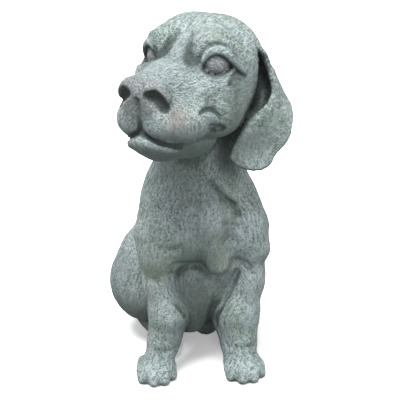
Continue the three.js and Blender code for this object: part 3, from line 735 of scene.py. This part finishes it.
@dataclass
class Skin:
    """Turns a form into one closed mesh of small four-sided faces.

    Blocks of cells are worked out point by point only within block_reach block sides of the surface.
    """

    form: Form
    low: Point = (-30, -42, -3)
    high: Point = (34, 46, 105)
    cell: float = 0.56
    block: int = 4
    block_reach: float = 1.8
    batch: int = 300000
    longest_move: float = 0.4
    least_steepness: float = 0.3

    def sample(self) -> np.ndarray:
        """Values of the form on a grid. Blocks far from the surface keep their coarse value."""
        low, high = np.asarray(self.low, float), np.asarray(self.high, float)
        blocks = np.ceil((high - low) / self.cell / self.block).astype(int)
        middle = (self.block - 1) / 2
        axes = [low[i] + self.cell * (np.arange(blocks[i]) * self.block + middle) for i in range(3)]
        coarse = self.form(np.stack(np.meshgrid(*axes, indexing="ij"), -1).reshape(-1, 3)).reshape(blocks)
        close = np.abs(coarse) < self.cell * self.block * self.block_reach

        def spread(array: np.ndarray) -> np.ndarray:
            """Repeats each block's value over its points."""
            return array.repeat(self.block, 0).repeat(self.block, 1).repeat(self.block, 2)

        values = spread(coarse)
        mask = spread(close)
        places = low + np.argwhere(mask) * self.cell
        found = [self.form(part) for part in np.array_split(places, max(1, len(places) // self.batch))]
        values[mask] = np.concatenate(found)
        return values

    def mesh(self) -> tuple[np.ndarray, np.ndarray]:
        """Makes the surface.

        Returns:
            Its points, in the form's units, and its faces as rows of four points.
        """
        values = self.sample()
        cells = np.array(values.shape) - 1
        inside = values < 0
        total = int(cells.prod())
        sums, counts, faces = np.zeros((total, 3)), np.zeros(total), []
        for axis in range(3):
            first = tuple(slice(None, -1) if i == axis else slice(None) for i in range(3))
            second = tuple(slice(1, None) if i == axis else slice(None) for i in range(3))
            edges = np.argwhere(inside[first] != inside[second])
            across, up = (axis + 1) % 3, (axis + 2) % 3
            here, there = values[first][tuple(edges.T)], values[second][tuple(edges.T)]
            spots = edges.astype(float)
            spots[:, axis] += here / (here - there)
            ring = []
            for back, down in ((-1, -1), (0, -1), (0, 0), (-1, 0)):
                cell = edges.copy()
                cell[:, across] += back
                cell[:, up] += down
                index = (cell[:, 0] * cells[1] + cell[:, 1]) * cells[2] + cell[:, 2]
                ring.append(index)
                counts += np.bincount(index, minlength=total)
                for i in range(3):
                    sums[:, i] += np.bincount(index, spots[:, i], minlength=total)
            rows = np.stack(ring, 1)
            rows[here > 0] = rows[here > 0][:, ::-1]
            faces.append(rows)
        used = np.flatnonzero(counts)
        number = np.full(total, -1)
        number[used] = np.arange(len(used))
        points = np.asarray(self.low, float) + self.cell * sums[used] / counts[used][:, None]
        return self.outer(points, number[np.concatenate(faces)])

    @staticmethod
    def outer(points: np.ndarray, faces: np.ndarray) -> tuple[np.ndarray, np.ndarray]:
        """Drops small bubbles sealed inside the form.

        Args:
            points: The points of the surface.
            faces: Its faces.

        Returns:
            The points and faces of the outer surface alone.
        """
        label, before = np.arange(len(points)), None
        while before is None or (label != before).any():
            before = label.copy()
            for i in range(4):
                np.minimum.at(label, faces[:, i], before[faces].min(1))
            label = label[label]
        keep = label == np.bincount(label).argmax()
        return points[keep], (np.cumsum(keep) - 1)[faces[keep[faces[:, 0]]]]

    def slope(self, points: np.ndarray, step: float = 0.06) -> tuple[np.ndarray, np.ndarray]:
        """Distance and its slope at each point.

        Args:
            points: Places to measure.
            step: How far apart the values are taken.

        Returns:
            The distance, and the direction in which it grows.
        """
        here = self.form(points)
        sides = [self.form(points + step * np.eye(3)[i]) - here for i in range(3)]
        return here, np.stack(sides, 1) / step

    def settle(self, points: np.ndarray, rounds: int = 2) -> np.ndarray:
        """Moves points onto the surface.

        Args:
            points: Points close to it.
            rounds: How often they are moved.

        Returns:
            The moved points.
        """
        for _ in range(rounds):
            distance, rise = self.slope(points)
            steepness = np.maximum(np.einsum("ij,ij->i", rise, rise), self.least_steepness)
            move = np.clip(distance, -self.longest_move, self.longest_move) / steepness
            points = points - move[:, None] * rise
        return points


def set_mesh(name: str, points: np.ndarray, faces: np.ndarray) -> bpy.types.Object:
    """Makes an object of points in metres and faces, and puts it in the scene.

    Args:
        name: The piece's name.
        points: Its points.
        faces: Its faces.

    Returns:
        The new object.
    """
    mesh = bpy.data.meshes.new(name)
    mesh.from_pydata(points.tolist(), [], faces.tolist())
    mesh.update()
    mesh.polygons.foreach_set("use_smooth", [True] * len(mesh.polygons))
    piece = bpy.data.objects.new(name, mesh)
    bpy.context.scene.collection.objects.link(piece)
    return piece


@dataclass
class Coat:
    """The carved coat: strokes combed along the flow of the hair.

    The hair runs back from the nose and down the body. Fine strokes spread from a point before the
    nose, and on the body they sway from side to side.
    """

    seed: int = 7
    comb_rounds: int = 10
    comb_sharpness: int = 6
    comb_hold: float = 0.35
    depth: float = 0.1
    squeeze: float = 0.34
    nose: Point = (0.0, -31.0, -5.0)
    before_nose: Point = (0.0, -40.0, -4.0)
    down: Point = (0.0, 0.15, -1.0)
    spread_radius: float = 34.0
    bend: Point = (1.3, 0.5, 0.0)
    bend_turns: tuple = (0.34, 0.3)
    bare_nose: tuple = ((2.0, -30.0, -4.8), (5.0, 3.4, 4.2))
    nose_fade: float = 0.8
    eye_fade: float = 0.35

    def flow(self, points: np.ndarray, normals: np.ndarray, pose: HeadFrame) -> np.ndarray:
        """The way the hair lies at each point: back from the nose over the head, and down the body.

        Args:
            points: Points of the skin.
            normals: Its normals.
            pose: The head's frame.

        Returns:
            One direction for each point, along the skin.
        """
        local = pose.local(points)
        away = (local - self.nose) @ pose.axes().T
        down = np.zeros_like(points) + self.down
        headness = pose.share(local)[:, None]
        way = unit_rows(away) * headness + down * (1 - headness)
        way -= normals * np.einsum("ij,ij->i", way, normals)[:, None]
        return unit_rows(way)

    def drawn_out(self, points: np.ndarray, pose: HeadFrame) -> tuple[np.ndarray, np.ndarray, np.ndarray]:
        """Places squeezed along the flow, so that a noise read there comes out as strokes.

        Args:
            points: Points of the skin.
            pose: The head's frame.

        Returns:
            Places for the body, places for the head, and the share of the head.
        """
        local = pose.local(points)
        away = local - self.before_nose
        far = length(away)
        on_head = away / far[:, None] * self.spread_radius
        on_head[:, 1] += far * self.squeeze
        up_turns, side_turns = self.bend_turns
        bend = np.sin(points[:, 2:3] * up_turns + points[:, :1] * side_turns) * self.bend
        return (points + bend) * (1, 1, self.squeeze), on_head, pose.share(local)

    def comb(self, points: np.ndarray, edges: np.ndarray, way: np.ndarray) -> np.ndarray:
        """Noise drawn out along the flow, as strokes.

        Args:
            points: Points of the skin.
            edges: Pairs of neighbouring points.
            way: The flow at each point.

        Returns:
            A height at each point, about -1 to 1.
        """
        value = np.random.default_rng(self.seed).standard_normal(len(points))
        first, second = edges.T
        span = unit_rows(points[second] - points[first])
        aligned = np.abs(np.einsum("ij,ij->i", span, way[first] + way[second])) / 2
        weight = aligned**self.comb_sharpness
        count = len(points)
        total = self.comb_hold + np.bincount(first, weight, count) + np.bincount(second, weight, count)
        for _ in range(self.comb_rounds):
            pulled = np.bincount(first, weight * value[second], count)
            pulled += np.bincount(second, weight * value[first], count)
            value = (self.comb_hold * value + pulled) / total
        value -= value.mean()
        return np.clip(value / value.std() / 2, -1, 1)

    def bareness(self, points: np.ndarray, puppy: Puppy) -> np.ndarray:
        """Where the coat gives way to bare metal: on the eyes and the nose.

        Args:
            points: Points of the skin.
            puppy: The figure.

        Returns:
            One on bare places, zero in the coat.
        """
        local = paired(puppy.pose.local(points))
        nose = np.clip(1 - egg(local, *self.bare_nose) / self.nose_fade, 0, 1)
        return np.maximum(self.eyeballs(points, puppy), nose)

    def eyeballs(self, points: np.ndarray, puppy: Puppy) -> np.ndarray:
        """Where the eyeballs are.

        Args:
            points: Points of the skin.
            puppy: The figure.

        Returns:
            One on an eyeball, zero away from it.
        """
        eye = puppy.head.eye
        ball = length(drawn_in(puppy.pose.local(points), FAR_EYE_INSET) - eye.middle) - eye.radius
        return np.clip(1 - ball / self.eye_fade, 0, 1)


@dataclass(frozen=True)
class Patina:
    """Weathered copper alloy.

    Its tints come first, then its gloss. Each mark has how many lie side by side, in one unit for
    the strokes and in one metre for the others, and the limits between which its noise is spread.
    A tint comes in by its greatest share, or by two limits of what it follows and that share. Last
    come how much each mark is rubbed pale and raised, and the bump, with its depth in metres.
    """

    deep: Point = (0.03, 0.042, 0.038)
    body: Point = (0.2, 0.245, 0.235)
    green: Point = (0.15, 0.205, 0.175)
    blue: Point = (0.22, 0.265, 0.285)
    chalk: Point = (0.47, 0.54, 0.545)
    # Pale bluish patina of the raised strokes, also laid as painted highlights on the spots where light falls
    # brightest.
    bloom_and_highlight: Point = (0.43, 0.52, 0.56)
    # Painted shade: a dark colour laid where the figure is in shade, under the jaw and neck, on the belly and
    # under the haunch.
    painted_shade: Point = (0.06, 0.078, 0.068)
    rust: Point = (0.3, 0.235, 0.19)
    moss: Point = (0.19, 0.215, 0.1)
    plum: Point = (0.2, 0.185, 0.2)
    roughness: float = 0.82
    roughness_below: float = 0.15
    roughness_above: float = 0.1
    metallic: float = 0.1
    specular: float = 0.3
    noise_detail: float = 3.0
    noise_roughness: float = 0.6
    body_strokes: float = 1.4
    head_strokes: float = 1.5
    stroke_limits: tuple = (0.3, 0.7)
    grain: float = 520.0
    grain_limits: tuple = (0.3, 0.7)
    pits: float = 260.0
    pit_limits: tuple = (0.3, 0.46)
    patches: float = 38.0
    patch_limits: tuple = (0.42, 0.6)
    blotches: float = 14.0
    blotch_limits: tuple = (0.4, 0.6)
    patch_share: float = 0.6
    bare_share: float = 0.6
    painted_shade_share: float = 0.75
    rust_share: float = 0.45
    # Painted shade with darker patina: faces turned downwards go darker.
    underside_patina_and_shade: tuple = (0.0, -0.85, 0.6)
    chalk_heights: tuple = (0.22, 0.82, 0.62)
    # Chalk is kept to upward and side faces: pale patina, and also painted light falling from above.
    chalk_and_light_facing: tuple = (-0.6, 0.5)
    bloom_and_highlight_heights: tuple = (0.15, 0.7, 0.6)
    stroke_feet: tuple = (0.42, 0.12, 0.28)
    lock_feet: tuple = (-0.1, -0.9, 0.25)
    pit_floors: tuple = (0.5, 0.0, 0.45)
    moss_grain: tuple = (0.2, 0.8, 0.8)
    # Painted shade and darker patina in crevices and pressed lines.
    hollow_shade_depths: tuple = (0.2, 0.9, 0.85)
    hair_rubbed: float = 0.45
    grain_rubbed: float = 0.55
    hair_height: float = 1.25
    grain_height: float = 0.4
    pit_height: float = 0.35
    bump_strength: float = 0.75
    bump_depth: float = 0.0016


@dataclass
class PatinaShader:
    """Builds the material of the weathered casting."""

    patina: Patina = field(default_factory=Patina)

    def noise_group(self) -> bpy.types.NodeTree:
        """A group that reads one noise at given places, with its contrast raised about the middle."""
        tree = bpy.data.node_groups.new("patina_noise", "ShaderNodeTree")
        face = tree.interface
        face.new_socket("Place", in_out="INPUT", socket_type="NodeSocketVector")
        for name in ("Scale", "Low", "High"):
            face.new_socket(name, in_out="INPUT", socket_type="NodeSocketFloat")
        face.new_socket("Share", in_out="OUTPUT", socket_type="NodeSocketFloat")
        nodes, links = tree.nodes, tree.links
        inward, outward = nodes.new("NodeGroupInput"), nodes.new("NodeGroupOutput")
        noise = nodes.new("ShaderNodeTexNoise")
        noise.inputs["Detail"].default_value = self.patina.noise_detail
        noise.inputs["Roughness"].default_value = self.patina.noise_roughness
        spread = nodes.new("ShaderNodeMapRange")
        spread.interpolation_type = "SMOOTHSTEP"
        links.new(inward.outputs["Place"], noise.inputs["Vector"])
        links.new(inward.outputs["Scale"], noise.inputs["Scale"])
        links.new(noise.outputs["Fac"], spread.inputs["Value"])
        links.new(inward.outputs["Low"], spread.inputs["From Min"])
        links.new(inward.outputs["High"], spread.inputs["From Max"])
        links.new(spread.outputs["Result"], outward.inputs["Share"])
        return tree

    def build(self) -> bpy.types.Material:
        """The material.

        Returns:
            The finished material, which reads the point attributes set on the casting.
        """
        patina = self.patina
        material = bpy.data.materials.new("weathered_bronze")
        material.use_nodes = True
        tree = material.node_tree
        nodes, links = tree.nodes, tree.links
        shader = nodes["Principled BSDF"]
        shader.inputs["Metallic"].default_value = patina.metallic
        shader.inputs["Specular IOR Level"].default_value = patina.specular
        group = self.noise_group()
        object_place = nodes.new("ShaderNodeTexCoord").outputs["Object"]

        def attribute(name: str, output: str = "Fac") -> Socket:
            """Reads a point attribute."""
            node = nodes.new("ShaderNodeAttribute")
            node.attribute_name = name
            return node.outputs[output]

        def noise(place: Socket, scale: float, low: float, high: float) -> Socket:
            """Reads the noise group."""
            node = nodes.new("ShaderNodeGroup")
            node.node_tree = group
            links.new(place, node.inputs["Place"])
            for name, value in (("Scale", scale), ("Low", low), ("High", high)):
                node.inputs[name].default_value = value
            return node.outputs["Share"]

        def spread(source: Socket, low: float, high: float, top: float = 1.0) -> Socket:
            """Spreads a value between two limits over 0 to top."""
            node = nodes.new("ShaderNodeMapRange")
            node.interpolation_type = "SMOOTHSTEP"
            for name, value in (("From Min", low), ("From Max", high), ("To Max", top)):
                node.inputs[name].default_value = value
            links.new(source, node.inputs["Value"])
            return node.outputs["Result"]

        def math_of(kind: str, *sources: Socket | float) -> Socket:
            """Joins values by simple arithmetic."""
            node = nodes.new("ShaderNodeMath")
            node.operation = kind
            for place, source in zip(node.inputs, sources):
                if isinstance(source, float):
                    place.default_value = source
                else:
                    links.new(source, place)
            return node.outputs["Value"]

        def tint(share: Socket, base: Socket | Point, over: Point) -> Socket:
            """Lays a colour over a base by a share."""
            node = nodes.new("ShaderNodeMix")
            node.data_type = "RGBA"
            links.new(share, node.inputs["Factor"])
            if isinstance(base, tuple):
                node.inputs[6].default_value = (*base, 1.0)
            else:
                links.new(base, node.inputs[6])
            node.inputs[7].default_value = (*over, 1.0)
            return node.outputs[2]

        strokes = nodes.new("ShaderNodeMix")
        links.new(attribute("headness"), strokes.inputs["Factor"])
        kinds = (("coat_body", patina.body_strokes), ("coat_head", patina.head_strokes))
        for place, (name, scale) in enumerate(kinds, 2):
            drawn = noise(attribute(name, "Vector"), scale, *patina.stroke_limits)
            links.new(drawn, strokes.inputs[place])
        hair = math_of("MULTIPLY", strokes.outputs[0], math_of("SUBTRACT", 1.0, attribute("bare")))
        grain = noise(object_place, patina.grain, *patina.grain_limits)
        pits = noise(object_place, patina.pits, *patina.pit_limits)
        blotch = noise(object_place, patina.blotches, *patina.blotch_limits)
        patches = noise(object_place, patina.patches, *patina.patch_limits)
        locks = attribute("cavity")

        upward = nodes.new("ShaderNodeSeparateXYZ")
        links.new(nodes.new("ShaderNodeNewGeometry").outputs["Normal"], upward.inputs["Vector"])
        colour = tint(blotch, patina.body, patina.green)
        colour = tint(math_of("MULTIPLY", patches, patina.patch_share), colour, patina.blue)
        colour = tint(math_of("MULTIPLY", attribute("bare"), patina.bare_share), colour, patina.plum)
        # Painted shade with darker patina on faces turned downwards.
        colour = tint(spread(upward.outputs["Z"], *patina.underside_patina_and_shade), colour, patina.deep)
        rubbed = math_of("ADD", math_of("MULTIPLY", hair, patina.hair_rubbed),
                         math_of("MULTIPLY", grain, patina.grain_rubbed))
        chalk = spread(rubbed, *patina.chalk_heights)
        # Chalk only on upward and side faces: pale patina, and painted light from above.
        chalk = math_of("MULTIPLY", chalk, spread(upward.outputs["Z"], *patina.chalk_and_light_facing))
        colour = tint(chalk, colour, patina.chalk)
        # Pale patina and painted highlights on the raised strokes at the bright spots.
        bloom_and_highlight = math_of("MULTIPLY", attribute("bloom_and_highlight"), spread(rubbed, *patina.bloom_and_highlight_heights))
        colour = tint(bloom_and_highlight, colour, patina.bloom_and_highlight)
        colour = tint(spread(rubbed, *patina.stroke_feet), colour, patina.deep)
        colour = tint(spread(locks, *patina.lock_feet), colour, patina.deep)
        colour = tint(spread(pits, *patina.pit_floors), colour, patina.deep)
        # Painted shade at spots that lie in shade: under the jaw and neck, on the belly and round the haunch.
        colour = tint(math_of("MULTIPLY", attribute("painted_shade"), patina.painted_shade_share), colour, patina.painted_shade)
        colour = tint(math_of("MULTIPLY", attribute("rust"), patina.rust_share), colour, patina.rust)
        moss = math_of("MULTIPLY", attribute("moss"), spread(grain, *patina.moss_grain))
        colour = tint(moss, colour, patina.moss)
        # Painted shade and darker patina in crevices and pressed lines.
        colour = tint(spread(attribute("hollow"), *patina.hollow_shade_depths), colour, patina.deep)
        links.new(colour, shader.inputs["Base Color"])
        rough = nodes.new("ShaderNodeMapRange")
        rough.inputs["To Min"].default_value = patina.roughness - patina.roughness_below
        rough.inputs["To Max"].default_value = patina.roughness + patina.roughness_above
        links.new(grain, rough.inputs["Value"])
        links.new(rough.outputs["Result"], shader.inputs["Roughness"])
        height = math_of("ADD", math_of("MULTIPLY", hair, patina.hair_height),
                         math_of("MULTIPLY", grain, patina.grain_height))
        height = math_of("ADD", height, math_of("MULTIPLY", pits, patina.pit_height))
        bump = nodes.new("ShaderNodeBump")
        bump.inputs["Strength"].default_value = patina.bump_strength
        bump.inputs["Distance"].default_value = patina.bump_depth
        links.new(height, bump.inputs["Height"])
        links.new(bump.outputs["Normal"], shader.inputs["Normal"])
        return material


@dataclass
class Casting:
    """The puppy as one visible piece: its fine skin, its carved coat and its patina.

    A spot gives a place, its reach along the three axes and its strength. A probe gives how far in
    front of the skin the room is measured, and how much it counts.
    """

    puppy: Puppy
    coat: Coat = field(default_factory=Coat)
    shader: PatinaShader = field(default_factory=PatinaShader)
    eye_clear: float = 0.85
    spots: dict = field(default_factory=lambda: {
        "moss": (((3.0, -16, 38), (2.2, 6, 8), 0.7), ((-14, -13, 35), (4, 5, 5), 0.6),
                 ((6, -14, 52), (4, 5, 6), 0.35), ((-13, -9, 22), (4, 5, 9), 0.3),
                 ((0, -18, 101), (6, 5, 4), 0.3), ((8, -20, 80), (5, 6, 6), 0.25)),
        # Painted shade: under the jaw, on the front of the neck, on the belly, under and beside the haunch,
        # and on the left cheek.
        "painted_shade": (((-6.0, -15, 66), (9, 8, 8), 0.7), ((-3.4, -12, 22), (7, 6, 10), 0.85),
                  ((-22, 10, 6), (9, 22, 9), 0.8), ((-23, 12, 20), (7, 18, 12), 0.45),
                  ((-12, -29, 72), (13, 9, 3.8), 1.0), ((-5, -12, 21), (4.6, 8, 9), 0.7),
                  ((4.5, -22, 84), (2.6, 8, 9), 0.7)),
        "rust": (((-13.2, -33.4, 83.4), (3.2, 5, 3.0), 1.0), ((-20, -6, 26), (6, 8, 8), 0.3)),
        # Pale patina and painted highlights: on the paws, the right foreleg, the left breast and shoulder,
        # and the top of the muzzle.
        "bloom_and_highlight": (((9.0, -19, 4), (7, 7, 6), 0.6), ((-15, -16, 4), (7, 7, 6), 0.6),
                  ((-12, -12, 25), (5, 6, 7), 0.7), ((10, -14, 40), (6, 6, 6), 0.7),
                  ((9, -14, 52), (4, 6, 7), 0.4), ((-16, -24, 86), (8, 8, 6), 0.5)),
    })
    crease_share: float = 1.0
    body_crease_share: float = 0.25
    probes: tuple = ((0.7, 0.4), (1.6, 0.3), (4.0, 0.3), (9.0, 0.35))
    shut_gain: float = 1.3
    hollow_smoothing: float = 0.5
    ground_fade: float = 1.5

    def hollow_shade(self, skin: Skin, points: np.ndarray, normals: np.ndarray) -> np.ndarray:
        """How shut in each place is, from the room in front of it; this drives the painted shade and darker
        patina in crevices.

        Args:
            skin: The skin, for its form.
            points: Its points.
            normals: Its normals.

        Returns:
            Zero in the open, one deep in a crevice.
        """
        shut = np.zeros(len(points))
        for reach, share in self.probes:
            room = skin.form(points + normals * reach) / reach
            shut += share * np.clip(1 - room, 0, 1)
        return np.clip(shut * self.shut_gain, 0, 1)

    @staticmethod
    def mask(points: np.ndarray, spots: Sequence) -> np.ndarray:
        """Soft spots on the skin.

        Args:
            points: Points of the skin.
            spots: For each spot its place, its reach along the three axes and its strength.

        Returns:
            The share of the spots at each point, 0 to 1.
        """
        total = np.zeros(len(points))
        for place, reach, share in spots:
            total += share * np.exp(-(length((points - place) / reach) ** 2))
        return np.clip(total, 0, 1)

    def creases(self, points: np.ndarray) -> np.ndarray:
        """How deep in a pressed line each point lies, 0 to 1."""
        local = self.puppy.pose.local(points)
        pushes = [np.clip(groove.push(local), 0, None) for groove in HEAD_GROOVES]
        pushes += [self.body_crease_share * np.clip(groove.push(points), 0, None) for groove in BODY_GROOVES]
        return np.clip(np.sum(pushes, 0), 0, 1)

    @staticmethod
    def mark(piece: bpy.types.Object, name: str, values: np.ndarray) -> None:
        """Gives each point of the piece a value or a place.

        Args:
            piece: The piece.
            name: Name of the point attribute.
            values: One number for each point, or one row of three.
        """
        kind, part = ("FLOAT", "value") if values.ndim == 1 else ("FLOAT_VECTOR", "vector")
        attribute = piece.data.attributes.new(name, kind, "POINT")
        attribute.data.foreach_set(part, values.astype(np.float32).ravel())

    def build(self) -> bpy.types.Object:
        """Makes the piece.

        Returns:
            The dressed object.
        """
        skin = Skin(self.puppy.form)
        points, faces = skin.mesh()
        points = skin.settle(points)
        _, rise = skin.slope(points)
        normals = unit_rows(rise)
        edges = np.concatenate([faces[:, [i, (i + 1) % 4]] for i in range(4)])
        edges = np.unique(np.sort(edges, 1), axis=0)
        way = self.coat.flow(points, normals, self.puppy.pose)
        hair = self.coat.comb(points, edges, way)
        bare = self.coat.bareness(points, self.puppy)
        # Painted shade and darker patina in crevices and along the pressed lines, kept off the eyeballs.
        clear = self.eye_clear * self.coat.eyeballs(points, self.puppy)
        hollow = self.hollow_shade(skin, points, normals) * (1 - clear)
        hollow = np.clip(hollow + self.crease_share * self.creases(points), 0, 1)
        height = hair * self.coat.depth * (1 - bare) * (1 - self.hollow_smoothing * hollow)
        grounded = np.clip(points[:, 2] / self.ground_fade, 0, 1)
        carved = points + normals * (height * grounded)[:, None]
        carved[:, 2] = np.maximum(carved[:, 2], 0.0)
        middle = (carved.min(0) + carved.max(0)) / 2
        low, high = (np.array(corner) for corner in CAD_BOX)
        carved[:, :2] += (low + high)[:2] / 2 / UNIT - middle[:2]
        piece = set_mesh("puppy_casting", np.clip(carved * UNIT, low, high), faces)
        body_place, head_place, headness = self.coat.drawn_out(points, self.puppy.pose)
        masks = {name: self.mask(points, spots) for name, spots in self.spots.items()}
        masks |= {"cavity": hair * (1 - bare), "hollow": hollow, "bare": bare, "headness": headness}
        for name, values in masks.items():
            self.mark(piece, name, values)
        self.mark(piece, "coat_body", body_place)
        self.mark(piece, "coat_head", head_place)
        piece.data.materials.append(self.shader.build())
        log.info("puppy_casting: %d points, %d triangles", len(points), 2 * len(faces))
        self.shift = (low + high)[:2] / 2 - middle[:2] * UNIT
        return piece


@dataclass
class Studio:
    """Pale floor, soft lights and the camera at the photograph's angle."""

    turn: float = -14.0
    height: float = 22.0
    distance: float = 400.0
    target: Point = (0.0, -4.0, 49.0)
    pixels_per_unit: float = 3.62
    image_width: float = 400.0
    sensor: float = 36.0
    floor_reach: float = 3.0
    floor_glow: float = 0.32
    floor_seen: float = 0.95
    floor_thrown: float = 0.4
    sky_seen: float = 1.0
    sky_thrown: float = 0.55
    suns: tuple = (("key", (-0.4, -0.42, 1.7), 34.0, 6.2), ("fill", (1.1, -1.0, 0.7), 60.0, 0.9))

    def floor(self) -> None:
        """A plain pale floor, which throws less light back at the figure than the camera sees on it."""
        reach = self.floor_reach
        corners = np.array([(x * reach, y * reach, 0) for x, y in ((-1, -1), (1, -1), (1, 1), (-1, 1))])
        floor = set_mesh("floor", corners, np.array([[0, 1, 2, 3]]))
        material = bpy.data.materials.new("pale_floor")
        material.use_nodes = True
        nodes, links = material.node_tree.nodes, material.node_tree.links
        shader = nodes["Principled BSDF"]
        shader.inputs["Roughness"].default_value = 1.0
        shader.inputs["Specular IOR Level"].default_value = 0.0
        seen = nodes.new("ShaderNodeMix")
        seen.data_type = "RGBA"
        seen.inputs[6].default_value = (*(self.floor_thrown,) * 3, 1)
        seen.inputs[7].default_value = (*(self.floor_seen,) * 3, 1)
        links.new(nodes.new("ShaderNodeLightPath").outputs["Is Camera Ray"], seen.inputs["Factor"])
        links.new(seen.outputs[2], shader.inputs["Base Color"])
        shader.inputs["Emission Color"].default_value = (1, 1, 1, 1)
        glow = nodes.new("ShaderNodeMath")
        glow.operation = "MULTIPLY"
        glow.inputs[1].default_value = self.floor_glow
        links.new(nodes.new("ShaderNodeLightPath").outputs["Is Camera Ray"], glow.inputs[0])
        links.new(glow.outputs[0], shader.inputs["Emission Strength"])
        floor.data.materials.append(material)

    def sun(self, name: str, place: Point, spread: float, power: float) -> None:
        """One soft far light.

        Args:
            name: Its name.
            place: Where it shines from.
            spread: Its width in degrees.
            power: Its power.
        """
        lamp = bpy.data.lights.new(name, "SUN")
        lamp.angle = math.radians(spread)
        lamp.energy = power
        holder = bpy.data.objects.new(name, lamp)
        holder.rotation_mode = "QUATERNION"
        holder.rotation_quaternion = (-Vector(place)).to_track_quat("-Z", "Y")
        bpy.context.scene.collection.objects.link(holder)

    def camera(self, shift: np.ndarray) -> None:
        """Sets the camera.

        Args:
            shift: How far the figure's own frame was moved over the ground, in metres.
        """
        turn, lift = math.radians(self.turn), math.radians(self.height)
        back = Vector((math.sin(turn) * math.cos(lift), -math.cos(turn) * math.cos(lift), math.sin(lift)))
        target = Vector(self.target) * UNIT + Vector((*shift, 0))
        lens = bpy.data.cameras.new("camera")
        lens.sensor_width = self.sensor
        lens.lens = self.pixels_per_unit * self.distance * self.sensor / self.image_width
        holder = bpy.data.objects.new("camera", lens)
        holder.location = target + back * self.distance * UNIT
        holder.rotation_mode = "QUATERNION"
        holder.rotation_quaternion = (-back).to_track_quat("-Z", "Y")
        bpy.context.scene.collection.objects.link(holder)
        bpy.context.scene.camera = holder

    def build(self, shift: np.ndarray) -> None:
        """Sets the floor, the lights, the sky and the camera.

        Args:
            shift: How far the figure's own frame was moved over the ground, in metres.
        """
        self.floor()
        for sun in self.suns:
            self.sun(*sun)
        world = bpy.data.worlds.new("soft_sky")
        world.use_nodes = True
        nodes, links = world.node_tree.nodes, world.node_tree.links
        sky = nodes["Background"]
        sky.inputs["Color"].default_value = (1, 1, 1, 1)
        seen = nodes.new("ShaderNodeMapRange")
        seen.inputs["To Min"].default_value = self.sky_thrown
        seen.inputs["To Max"].default_value = self.sky_seen
        links.new(nodes.new("ShaderNodeLightPath").outputs["Is Camera Ray"], seen.inputs["Value"])
        links.new(seen.outputs["Result"], sky.inputs["Strength"])
        bpy.context.scene.world = world
        bpy.context.scene.view_settings.view_transform = "Standard"
        self.camera(shift)


def main() -> None:
    """Builds the figure and its surroundings, in order."""
    logging.basicConfig(level=logging.INFO, format="%(name)s: %(message)s")
    casting = Casting(Puppy())
    piece = casting.build()
    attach(piece, "root")
    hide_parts("puppy")
    Studio().build(casting.shift)
    log.info("studio: floor, lights and camera")


if __name__ == "__main__":
    main()
